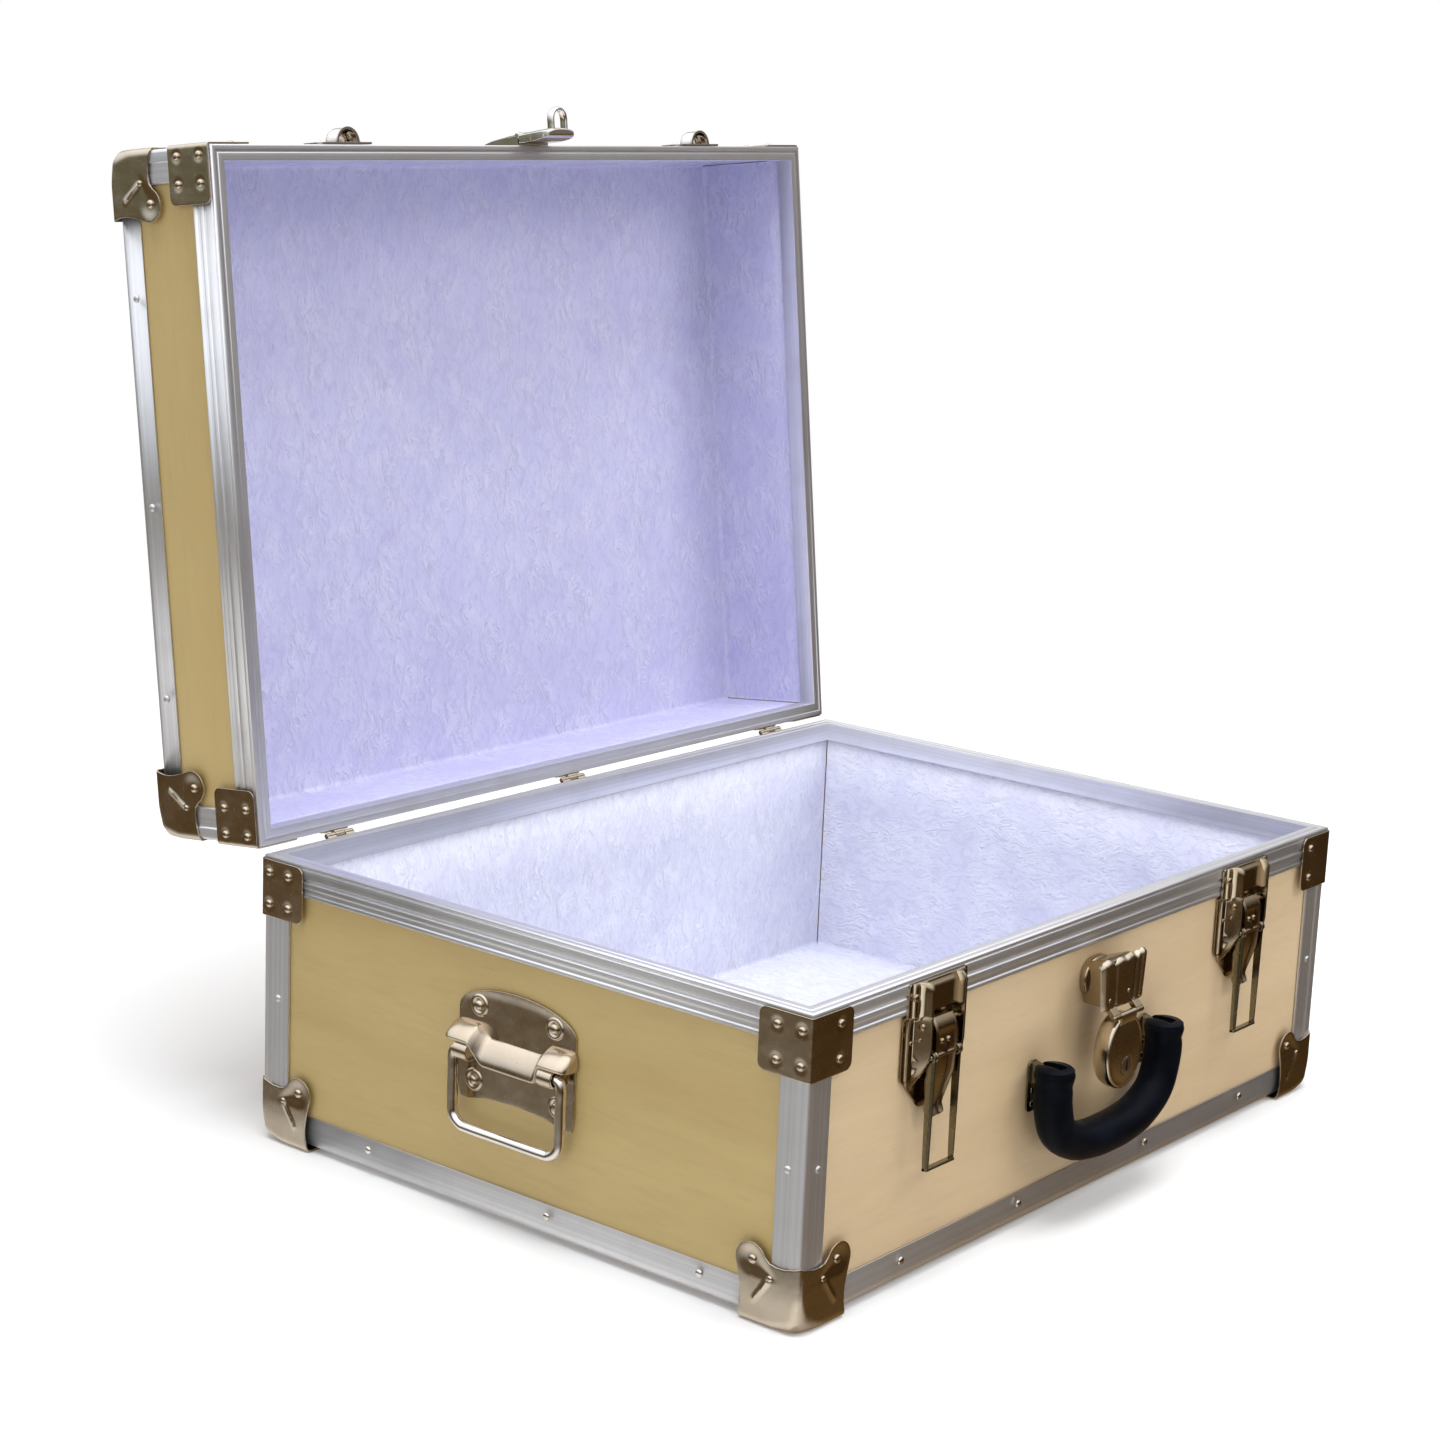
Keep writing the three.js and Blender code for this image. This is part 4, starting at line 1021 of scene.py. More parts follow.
def latch_lever_mesh():
    """Over-centre lever: trough with rolled sides, a thumb lip and two cross pins."""
    bm = bmesh.new()
    half_shares = [0, 0.12, 0.22, 0.35, 0.46, 0.58, 0.7, 0.8, 0.86, 0.97, 1]
    shares = [-v for v in reversed(half_shares)] + half_shares[1:]
    levels = [104, 104.6, 105.5, 107, 108.5, 110.5, 112, 114, 117, 122, 127, 132, 139, 146, 150, 152, 155,
              158, 160, 162, 164, 165.6, 166.8]

    def surface(share, z):
        front = interpolate(LEVER_FRONT, z)
        x = share * interpolate(LEVER_HALF, z)
        trough = 1.9 * smooth((0.86 - abs(share)) / 0.1) * smooth((z - 111) / 7) * smooth((162 - z) / 6)
        spine = 1.5 * smooth((0.3 - abs(share)) / 0.15) * smooth((z - 112) / 6) * smooth((151 - z) / 3)
        lip = 0.5 * smooth((abs(share) - 0.9) / 0.08)
        ribs = 0.5 * math.cos(8.6 * share) * smooth((z - 104.4) / 1.2) * smooth((113 - z) / 3)
        thick = 1.5 + 3.6 * smooth((z - 112) / 16)
        outer = front - trough + spine - lip + ribs
        return (x, -outer, z), (x, -(front - thick - 0.8), z)

    add_grid(bm, surface, shares, levels)
    thicken(bm)
    for (s, z), radius, half in ((LEVER_PIN, 1.7, 15.2), (BAIL_PIN, 1.5, 15)):
        shaft = [(radius * 0.6, -half), (radius, -half + 0.5), (radius, half - 0.5), (radius * 0.6, half)]
        lathe(bm, shaft, (0, -s, z), (1, 0, 0), 18)
    for side in (-1, 1):
        lathe(bm, [(3.2, 0), (3.5, 0.3), (3.5, 1.0), (3.1, 1.3)], (10.6 * side, -12, 144), (side, 0, 0))
        rivet(bm, (3.2 * side, -11.7, 152), (0, -1, 0), 1.9, 1.6)
    return to_mesh(bm, "latch_lever")


def latch_bail_mesh():
    """A strip bent to a U, deeper at the eyes than at its bar."""
    bm = bmesh.new()
    s, top = BAIL_PIN
    bottom = top - 70
    for side in (-1, 1):
        rings = []
        for z, deep in ((top, 2.9), (top - 6, 2.7), (top - 30, 2.5), (bottom + 6, 2.0),
                        (bottom + 1.6, 1.8), (bottom, 1.4)):
            x0, x1 = 12.3 * side, 14.2 * side
            corners = [(x0, s - deep), (x1, s - deep), (x1, s + deep * 0.3), (x0 + 0.9 * side, s + deep),
                       (x0, s + deep)]
            rings.append([(x, -a, z) for x, a in corners])
        loft(bm, rings)
        eye = [(1.7, 0), (3.2, 0), (3.4, 0.3), (3.4, 1.6), (3.2, 1.9), (1.7, 1.9)]
        lathe(bm, eye, (12.3 * side, -s, top), (side, 0, 0), 24)
    bar = [(s - 1.9, bottom), (s + 1.9, bottom), (s + 1.9, bottom + 1.8), (s - 1.9, bottom + 1.8)]
    prism_x(bm, fillet(bar, 0.5), -14.2, 14.2)
    return to_mesh(bm, "latch_bail")


def latch_keeper_mesh():
    """Strike: a half barrel with a domed back end and an open rolled mouth, on a riveted foot."""
    z0 = LID_BOTTOM + 0.9
    foot = RIM_FACE + 0.3
    bm = bmesh.new()

    def surface(degrees, t):
        angle = math.radians(degrees)
        closing = smooth((t - 0.55) / 0.45)
        shrink = math.sqrt(max(0.02, 1 - closing ** 2.2))
        lip = 0.7 * smooth((0.1 - t) / 0.1)
        z = z0 + 16.4 * t
        outer = Vector(((9.6 * shrink + lip) * math.cos(angle), 0, z))
        outer.y = -(foot + 1.2 + (9.6 * shrink + lip) * math.sin(angle))
        inner = Vector((8.4 * shrink * math.cos(angle), 0, z - 1.1 * closing))
        inner.y = -(foot + 1.2 + max(0.05, 8.4 * shrink) * math.sin(angle))
        return outer, inner

    shares = [0, 0.03, 0.07, 0.12, 0.25, 0.4, 0.55, 0.65, 0.74, 0.82, 0.88, 0.93, 0.97, 1.0]
    add_grid(bm, surface, [i * 7.5 for i in range(25)], shares)
    thicken(bm)
    prism_s(bm, rounded_rectangle(-24, 24, z0, z0 + 20, 5), foot, foot + 1.5)
    rivets_on_front(bm, [(-18, z0 + 10), (18, z0 + 10)], foot + 1.5, 2.4, 1.3)
    return to_mesh(bm, "latch_keeper")


def add_latches():
    plate, lever = latch_plate_mesh(), latch_lever_mesh()
    bail, keeper = latch_bail_mesh(), latch_keeper_mesh()
    for side in ("left", "right"):
        low, high = box_mm(f"latch_plate_{side}")
        at = TO_FRONT @ Matrix.Translation(((low.x + high.x) / 2 * MM, 0, 0))
        piece(plate, f"latch_{side}_plate", "base", NICKEL_PAINTED_DARK_REFLECTION, at, 0.22, 35,
              [f"latch_plate_{side}"])
        piece(lever, f"latch_{side}_lever", f"latch_lever_{side}", NICKEL_PAINTED_DARK_REFLECTION, at, 0.25, 35,
              [f"latch_lever_{side}"])
        piece(bail, f"latch_{side}_bail", f"latch_bail_{side}", NICKEL_PAINTED_DEEP_SHADE, at, 0.3, 35,
              [f"latch_bail_{side}"])
        piece(keeper, f"latch_{side}_keeper", "lid", BRIGHT, OPENED @ at, 0.2, 35,
              [f"latch_keeper_{side}"])


# ---------------------------------------------------------------- centre lock and hasp
LOCK_PIN = (27.2, 130.0)
# The face by x: the z of its wavy top, and the stand-off of its ribs.
FACE_TOP = [(-26, 163.5), (-24, 166.5), (-18.5, 167.8), (-14, 166.2), (-11.5, 163.8), (-9, 165.4),
            (-4, 166.6), (1, 165.6), (4, 166.4), (9, 167.2), (13, 165.6), (15.5, 167), (18.5, 165.2),
            (21, 167.8), (24.4, 167), (26, 163.5)]
FACE_HEIGHT = [(-26, 21.5), (-24.6, 23.5), (-23, 24.5), (-14.6, 24.5), (-13.4, 22.6), (-10, 22.6),
               (-8.8, 23.7), (-2, 24.2), (3, 24.4), (8, 24.0), (12.2, 23.5), (13.4, 24.7), (17.2, 24.7),
               (18.3, 22.6), (19.8, 22.6), (20.9, 24.1), (24, 23.9), (25.2, 23.3), (26, 21.5)]


def lock_case_mesh():
    """Tapered, ribbed face of the lock case with a wavy rolled top."""
    bm = bmesh.new()

    def face(x, t):
        top = interpolate(FACE_TOP, x)
        z = 134.5 + (top - 134.5) * t
        squeeze = 1 - 0.115 * (1 - t)
        lean = 2.4 * (1 - math.sqrt(max(0, 1 - smooth((t - 0.9) / 0.1) ** 2)))
        low = 1.2 * (1 - smooth(t / 0.06))
        height = interpolate(FACE_HEIGHT, x) - lean - low
        return (x * squeeze, -height, z), (x * squeeze, -20.7, z)

    across = sorted({x for x, _ in FACE_HEIGHT} | {x for x, _ in FACE_TOP} | {-20, -17, -6, 0, 6, 22.5})
    add_grid(bm, face, across, [0, 0.02, 0.05, 0.12, 0.3, 0.5, 0.7, 0.85, 0.9, 0.93, 0.96, 0.98, 1])
    thicken(bm)
    rivets_on_front(bm, [(-18, 141.5), (4, 143.5)], 24.2, 1.5, 0.9)
    return to_mesh(bm, "lock_case")


def lock_body_mesh():
    """Body of the lock on its rounded back plate, with a tab rolled round the pin each side."""
    bm = bmesh.new()
    body = [(1.6, 134), (1.6, 160), (10, 163.5), (16, 165.5), (21.8, 166), (21.8, 135), (14, 134)]
    prism_x(bm, fillet(body, 1.5), -13, 13)
    stadium = [*arc(3, 149, 13.6, -90, 90, 14), *arc(-3, 149, 13.6, 90, 270, 14)]
    loft(bm, [
        [(x * share, -s, 149 + (z - 149) * share) for x, z in stadium]
        for share, s in ((1.0, 0.3), (1.0, 3.2), (0.985, 4.2), (0.94, 4.9), (0.88, 5.0))
    ])
    tab = [(20.7, 134), (23.4, 136.4), (28.2, 131.8), (27.6, 128.8), (25.2, 128.9)]
    prism_each_side(bm, fillet(tab, 0.8), 9.6, 16.8)
    barrel = [(1.4, 0), (1.9, 0.4), (1.9, 7.2), (1.4, 7.6)]
    for side in (-1, 1):
        lathe(bm, barrel, (9.4 * side, -LOCK_PIN[0], LOCK_PIN[1]), (side, 0, 0))
        rivet(bm, (16.8 * side, -LOCK_PIN[0], LOCK_PIN[1]), (side, 0, 0), 1.6, 0.8)
    return to_mesh(bm, "lock_body")


DRUM_HALF, DRUM_RISE, DRUM_Z = 20.5, 25.0, 105.2
PLUG_Z, PLUG_RADIUS = 96.0, 6.0
# From the back to the bead round the face: share of the oval's size, and stand-off.
DRUM_SIDE = [(0.0, 15.2), (0.87, 15.2), (0.94, 16.0), (0.98, 17.9), (1.0, 20.6), (1.0, 25.4),
             (0.985, 26.8), (0.95, 27.7), (0.915, 27.9), (0.89, 27.6), (0.868, 27.3)]
DRUM_FACE = DRUM_SIDE[-1][1]


def lock_drum_mesh():
    """Oval drum: deep rounded side, bead round the face, domed face bored for the plug."""
    bm = bmesh.new()
    count = 60
    edge = DRUM_SIDE[-1][0]
    bore = ellipse(0, PLUG_Z, PLUG_RADIUS + GAP, PLUG_RADIUS + GAP, 28)

    def dome(x, z):
        away = math.hypot(x / DRUM_HALF, (z - DRUM_Z) / DRUM_RISE) / edge
        near = math.hypot(x, z - PLUG_Z) - PLUG_RADIUS - GAP
        s = DRUM_FACE + 1.9 * (1 - min(away, 1) ** 2.4) + 0.45 * smooth(1 - abs(near - 1.2) / 1.2)
        return (x, -s, z), (x, -s + 1, z)

    add_sheet(bm, ellipse(0, DRUM_Z, edge * DRUM_HALF, edge * DRUM_RISE, count), dome, 3.0, [bore])
    side = [
        [bm.verts.new((x, -s, z))
         for x, z in ellipse(0, DRUM_Z, max(share, 0.01) * DRUM_HALF, max(share, 0.01) * DRUM_RISE, count)]
        for share, s in DRUM_SIDE
    ]
    bridge(bm, side)
    bm.faces.new(side[0])
    deep = [[bm.verts.new((x, -s, z)) for x, z in bore] for s in (28.0, 23.3)]
    bridge(bm, [[bm.verts.new(dome(x, z)[0]) for x, z in bore], *deep])
    bm.faces.new(deep[-1])
    neck = [(21.9, 123), (22.4, 129), (24.6, 131.4), (27.4, 132.0), (29.0, 130.6), (28.7, 127), (27.5, 123)]
    prism_x(bm, fillet(neck, 1.0), -8.8, 8.8)
    return to_mesh(bm, "lock_drum")


def lock_plug_mesh():
    """Round plug with an eased edge and a key slot through it."""
    bm = bmesh.new()
    front, back, edge = 29.3, 24.7, PLUG_RADIUS
    slot = rounded_rectangle(-0.9, 0.9, PLUG_Z - 3.4, PLUG_Z + 3.4, 0.6, 2)

    def flat(x, z):
        near = math.hypot(x, z - PLUG_Z)
        s = front - 0.5 * smooth((near - edge + 1) / 1.0)
        return Vector((x, -s, z)), Vector((x, -back, z))

    add_sheet(bm, ellipse(0, PLUG_Z, edge, edge, 28), flat, 1.2, [slot])
    thicken(bm)
    return to_mesh(bm, "lock_plug")


LEAF_FRONT = [(197.5, 12.2), (210, 11.2), (226, 9.0), (236, 6.6), (243, 4.4), (248, 2.8), (251.5, 1.7)]
LEAF_WIDTH = [(197.5, 15.5), (226, 15.5), (233, 14.4), (238, 12.8), (243, 10.2), (247, 7.4), (249.6, 4.6),
              (251.0, 2.0), (251.5, 0.5)]


def crowned(half, back, front, sink, z, count=13):
    """A low arch across the panel: sides at the back, crowned in the middle."""
    points = [(-half, -back, z)]
    for i in range(count):
        share = -1 + 2 * i / (count - 1)
        points.append((half * share, -(front - sink * abs(share) ** 3), z))
    points.append((half, -back, z))
    return points


def hasp_leaf_mesh():
    """Fixed leaf: a crowned tongue stepped over the rim, ending at the flap's barrel."""
    bm = bmesh.new()
    over_rim = LID_BOTTOM + LEG_WIDTH
    rings = []
    for z in (197.6, 198.4, 204, 210, 215.8, 218.2, 226, 233, 238, 243, 247, 249.6, 251, 251.5):
        back = RIM_FACE + 0.3 if z < over_rim + 1.4 else GAP
        front = interpolate(LEAF_FRONT, z)
        rings.append(crowned(interpolate(LEAF_WIDTH, z), back, front, min(2.2, front * 0.4), z))
    loft(bm, rings)
    rivets_on_front(bm, [(-7.5, 236), (7.5, 236)], 5.6, 2.2, 1.2)
    lathe(bm, [(1.6, -15.3), (2.3, -14.8), (2.3, 14.8), (1.6, 15.3)], (0, -10.2, 198.6), (1, 0, 0))
    return to_mesh(bm, "hasp_leaf")


def hasp_flap_mesh():
    """Flap with a turned-in toe, carrying the arched staple that the lock bolt catches."""
    bm = bmesh.new()
    levels = [  # (z, half width, back, front)
        (169.6, 11.8, 9.4, 12.6), (170.2, 12.8, 8.6, 13.5), (172, 14.2, 7.6, 13.9),
        (176, 15.3, 6.6, 13.9), (182, 15.5, 5.6, 13.5), (190, 15.5, 5.0, 12.8), (196.8, 15.5, 5, 12.2),
    ]
    loft(bm, [crowned(half, back, front, 2.0, z) for z, half, back, front in levels])
    radius, leg = 6.6, [12.4, 16, 20]
    bend = arc(0, 20.4, radius, 157.5, 22.5, 6)
    arch = [*[(-radius, s) for s in leg], *bend, *[(radius, s) for s in reversed(leg)]]
    arch = spline([(x, -s, 173.5) for x, s in arch], 4)
    rings = []
    for i, point in enumerate(arch):
        along = arch[min(i + 1, len(arch) - 1)] - arch[max(i - 1, 0)]
        out = along.cross(Vector((0, 0, 1))).normalized()
        rings.append([point + out * a + Vector((0, 0, b)) for a, b in ellipse(0, 0, 1.5, 3.1, 16)])
    loft(bm, rings)
    return to_mesh(bm, "hasp_flap")


def add_lock():
    piece(lock_case_mesh(), "lock_pressed_case", "base", NICKEL, TO_FRONT, 0.3, 35,
          ["lock_case"])
    piece(lock_body_mesh(), "lock_case_body", "base", NICKEL_PAINTED_DARK_REFLECTION, TO_FRONT, 0.3, 35)
    piece(lock_drum_mesh(), "lock_domed_drum", "lock_drum", NICKEL, TO_FRONT, 0.2, 50,
          ["lock_drum"])
    piece(lock_plug_mesh(), "lock_key_plug", "lock_plug", STEEL, TO_FRONT, 0.15, 50,
          ["lock_plug"])
    on_lid = OPENED @ TO_FRONT
    piece(hasp_leaf_mesh(), "hasp_curved_leaf", "lid", BRIGHT, on_lid, 0.4, 40,
          ["hasp_leaf"])
    piece(hasp_flap_mesh(), "hasp_flap_and_staple", "hasp_flap", BRIGHT, on_lid, 0.4, 40,
          ["hasp_flap"])


# ---------------------------------------------------------------- carry grip
def add_grip():
    """The moulded sleeve and the two lugs that it turns on."""
    pivot = JOINTS["carry_grip_hinge"]["pos_m"]
    s, pivot_z = -pivot[1] / MM - PANEL_Y, pivot[2] / MM
    low, high = box_mm("carry_grip")
    lug = box_mm("grip_mount_right")
    radius = (high.y - low.y) / 2
    span = (lug[0].x + lug[1].x) / 2
    bottom = low.z + radius
    right = [
        (span, pivot_z + 8.2), (span, pivot_z - 2), (span, 84), (57.5, 64.5), (38.5, 53),
        (18, bottom + 0.7),
    ]
    path = [*[(-x, z) for x, z in right], (0, bottom), *reversed(right)]
    path = spline([(x, -s, z) for x, z in path], 8)

    def section(t):
        end = min(t, 1 - t)
        cap = math.sqrt(max(0.02, 1 - max(0.0, 1 - end / 0.02) ** 2))
        collar = 0.06 * math.exp(-((end - 0.055) / 0.018) ** 2)
        neck = -0.06 * math.exp(-((end - 0.1) / 0.012) ** 2)
        swell = 0.05 * math.exp(-((t - 0.5) / 0.16) ** 2)
        scale = 0.94 * min(1.0, cap) * (1 + collar + neck + swell)
        ring = []
        for i in range(28):
            a = 2 * math.pi * i / 28
            seam = 0.02 * math.exp(-((abs(math.sin(a))) / 0.09) ** 2)
            reach = radius * scale * (1 + seam)
            ring.append((reach * math.cos(a), reach * math.sin(a)))
        return ring

    bm = bmesh.new()
    sweep(bm, path, section)
    made = piece(to_mesh(bm, "grip"), "carry_grip_sleeve", "carry_grip", VINYL, TO_FRONT, 0,
                 nodes=["carry_grip"])
    cutter = bmesh.new()
    for side in (-1, 1):
        prism_x(cutter, rounded_rectangle(s - 20, s + 7, pivot_z - 7, pivot_z + 20, 5),
                *sorted((side * span - 3.7, side * span + 3.7)))
        lathe(cutter, [(2.3, -9.5), (2.3, 9.5)], (side * span, -s, pivot_z), (1, 0, 0))
    slot = bpy.data.objects.new("slot_cutter", to_mesh(cutter, "slot_cutter"))
    bpy.context.scene.collection.objects.link(slot)
    slot.matrix_world = TO_FRONT
    cut = made.modifiers.new("slots", "BOOLEAN")
    cut.object = slot
    cut.solver = "EXACT"
    cut.use_self = True
    bpy.context.view_layer.update()
    apply_modifiers(made)
    bpy.data.objects.remove(slot)
    made.data.polygons.foreach_set("use_smooth", [True] * len(made.data.polygons))
    made.data.set_sharp_from_angle(angle=math.radians(40))
    for side, name in ((-1, "left"), (1, "right")):
        add_mount(side * span, s, pivot_z, name)


def apply_modifiers(made):
    """Leaves the piece with its final mesh and no modifiers."""
    graph = bpy.context.evaluated_depsgraph_get()
    baked = bpy.data.meshes.new_from_object(made.evaluated_get(graph))
    made.modifiers.clear()
    made.data = baked


def add_mount(x, s, pivot_z, name):
    """Riveted lug whose cross pin turns in the sleeve's slotted end."""
    bm = bmesh.new()
    plate = rounded_rectangle(-5.5, 5.5, pivot_z - 26, pivot_z + 7.5, 4)
    prism_s(bm, plate, GAP, 1.6)
    lug = [(1.2, pivot_z - 7), (s * 0.5, pivot_z - 5.2), (s, pivot_z - 5),
           *arc(s, pivot_z, 5, -60, 60, 8), (s, pivot_z + 5), (s * 0.5, pivot_z + 5.2), (1.2, pivot_z + 7)]
    prism_x(bm, lug, -3.2, 3.2)
    lathe(bm, [(1.4, -9), (2, -8.5), (2, 8.5), (1.4, 9)], (0, -s, pivot_z), (1, 0, 0), 16)
    rivets_on_front(bm, [(0, pivot_z - 12), (0, pivot_z - 21)], 1.6, 2.2, 1.1)
    at = TO_FRONT @ Matrix.Translation((x * MM, 0, 0))
    piece(to_mesh(bm, "mount"), f"grip_lug_{name}", "base", NICKEL_PAINTED_DEEP_SHADE, at, 0.35, 35,
          [f"grip_mount_{name}"])


# ---------------------------------------------------------------- chest handles
BAIL_AXIS = JOINTS["chest_bail_left_hinge"]["pos_m"]
PIVOT_S, PIVOT_Z = -BAIL_AXIS[0] / MM - PANEL_X, BAIL_AXIS[2] / MM
WIRE, HALF_SPAN, DROP = 3.5, 44.5, 49.5
CHEST_RIVETS = [(-31, 136.5), (31, 136.5), (-34.5, 88), (34.5, 88)]
# Sections of the plate's fold and of the hood at its ends, point for point.
FOLD = [(1.4, 118), (1.4, 101.5), (8.4, 100.8), (10.2, 101.6), (10.6, 103.4), (9.9, 106.4),
        (8.6, 109.4), (6.9, 112.4), (5, 115), (3.2, 117)]
HOOD = [(1.4, 126), (1.4, 114.5), (13.4, 114.4), (15.2, 115.2), (15.5, 116.8), (14.2, 119),
        (12, 121), (9.4, 122.9), (6.4, 124.6), (3.6, 125.7)]


def chest_plate_mesh():
    """Arched plate with cupped rivets, barrels for the wire, and a fold rising to a hood each end."""
    crown = [(48 * math.cos(math.radians(a)), 133 + 17 * math.sin(math.radians(a)))
             for a in range(0, 181, 9)]
    hollow = [(-46, 75), (-40, 74.5), (-25, 78), (0, 79.5), (25, 78), (40, 74.5), (46, 75)]
    outline = [*hollow, (48, 84), *crown, (-48, 84)]

    def surface(x, z):
        edge = 0.6 * smooth((z - 133 - 11 * math.sqrt(max(0, 1 - (x / 48) ** 2))) / 5)
        return (x, -(1.8 + edge), z), (x, -GAP, z)

    bm = bmesh.new()
    add_sheet(bm, outline, surface, 2.4)
    thicken(bm)
    chest_fold(bm)
    tube = [(4.3, 0), (5.9, 0), (6.2, 0.4), (6.2, 10.8), (5.9, 11.2), (4.6, 11.2), (4.3, 10.8), (4.3, 3)]
    for side in (-1, 1):
        lathe(bm, tube, (29.2 * side, -PIVOT_S, PIVOT_Z), (side, 0, 0), 28)
    web = [(1.4, PIVOT_Z - 5.6), (1.4, 115), (5.4, 115), (5.4, PIVOT_Z - 5.6)]
    prism_each_side(bm, web, 29.4, 40)
    cup = [(7.4, -0.3), (7.3, 0.2), (6.6, 0.85), (5.6, 1.1), (4.6, 0.8), (3.9, 0.25), (3.6, 0.15)]
    for x, z in CHEST_RIVETS:
        lathe(bm, cup, (x, -1.8, z), (0, -1, 0), 30)
        rivet(bm, (x, -1.9, z), (0, -1, 0), 3.5, 2.4, 26)
    return to_mesh(bm, "chest_plate")


CHEST_FOOT, FOLD_MIDDLE = 1.4, 114.4  # (stand-off, z) about which the fold tapers


def chest_fold(bm):
    """The fold across the plate, shrinking towards its ends, where it rises to a hood."""
    half = [  # (distance from the middle, share of the rise to the hood, share of full size)
        (0, 0, 1), (14, 0, 1), (20, 0, 1), (22, 0.08, 1), (24, 0.3, 1), (26, 0.6, 1), (28, 0.88, 1),
        (30, 1, 1), (36, 1, 1), (42, 1, 1), (45, 1, 0.98), (47.6, 1, 0.9), (49.2, 1, 0.76), (50, 1, 0.55),
    ]
    rings = []
    for side in (-1, 1):
        for x, rise, size in (reversed(half) if side < 0 else half[1:]):
            ring = []
            for (s0, z0), (s1, z1) in zip(FOLD, HOOD):
                s, z = s0 + (s1 - s0) * rise, z0 + (z1 - z0) * rise
                ring.append((x * side, -(CHEST_FOOT + (s - CHEST_FOOT) * size),
                             FOLD_MIDDLE + (z - FOLD_MIDDLE) * size))
            rings.append(ring)
    loft(bm, rings)


def chest_bail_mesh():
    """Round wire bent to a drop handle, its ends turned into the barrels."""
    top, bottom = PIVOT_Z, PIVOT_Z - DROP
    right = [
        (32, top), (38, top), (HALF_SPAN - 2, top - 0.9), (HALF_SPAN, top - 5), (HALF_SPAN, top - 14),
        (HALF_SPAN, bottom + 14), (HALF_SPAN - 1, bottom + 6), (HALF_SPAN - 7, bottom + 1),
        (HALF_SPAN - 14, bottom),
    ]
    line = [*right, (0, bottom), *[(-x, z) for x, z in reversed(right)]]
    bm = bmesh.new()
    sweep(bm, spline([(x, -PIVOT_S, z) for x, z in line], 6), lambda t: ellipse(0, 0, WIRE, WIRE, 18))
    return to_mesh(bm, "chest_bail")


def add_chest_handles():
    plate, bail = chest_plate_mesh(), chest_bail_mesh()
    for name, side in (("left", -1), ("right", 1)):
        at = Matrix.Translation((side * PANEL_X * MM, 0, 0)) @ Matrix.Rotation(side * math.pi / 2, 4, "Z")
        piece(plate, f"chest_handle_{name}_plate", "base", NICKEL, at, 0.25, 40,
              [f"chest_plate_{name}"])
        piece(bail, f"chest_handle_{name}_wire", f"chest_bail_{name}", BRIGHT, at, 0,
              nodes=[f"chest_bail_{name}"])


# ---------------------------------------------------------------- rear hinges
def hinge_leaf_mesh(up, knuckles, with_pin):
    """One leaf, its web and its knuckles, drawn about the hinge axis."""
    leaf_in, leaf_out = -(1.6 + SHEET), -1.6
    bm = bmesh.new()
    outline = rounded_rectangle(-12, 12, *sorted((2.5 * up, 20 * up)), 2.5)
    prism_s(bm, outline, -leaf_in, -leaf_out)
    for x, z in ((-7.5, 14.5 * up), (7.5, 14.5 * up), (0, 8.0 * up)):
        lathe(bm, [(2.4, -0.2), (2.3, 0.4), (1.5, 0.75), (0, 0.85)], (x, leaf_out, z), (0, 1, 0), 18)
    for x0, x1 in knuckles:
        barrel = [(1.5, 0), (1.9, 0.3), (1.9, x1 - x0 - 0.3), (1.5, x1 - x0)]
        lathe(bm, barrel, (x0, 0, 0), (1, 0, 0), 20)
        web = [(leaf_in, 2.6 * up), (leaf_in, 0.6 * up), (-0.4, -1.2 * up), (1, 1.2 * up),
               (leaf_out, 3.6 * up)]
        prism_x(bm, [(-y, z) for y, z in web], x0, x1)
    if with_pin:
        lathe(bm, [(0.8, -12.4), (0.8, 12.4)], (0, 0, 0), (1, 0, 0), 12)
    return to_mesh(bm, "hinge_leaf")


def add_hinges():
    axis = Vector(JOINTS["lid_hinge"]["pos_m"])
    low_leaf = hinge_leaf_mesh(-1, [(-12, -4.3), (4.3, 12)], True)
    high_leaf = hinge_leaf_mesh(1, [(-3.9, 3.9)], False)
    for name in ("left", "middle", "right"):
        low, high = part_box(f"hinge_base_leaf_{name}")
        at = Matrix.Translation(((low.x + high.x) / 2, axis.y, axis.z))
        piece(low_leaf, f"rear_hinge_{name}_base_leaf", "base", NICKEL, at, 0.2, 35,
              [f"hinge_base_leaf_{name}"])
        piece(high_leaf, f"rear_hinge_{name}_lid_leaf", "lid", NICKEL, OPENED @ at, 0.2, 35,
              [f"hinge_lid_leaf_{name}"])


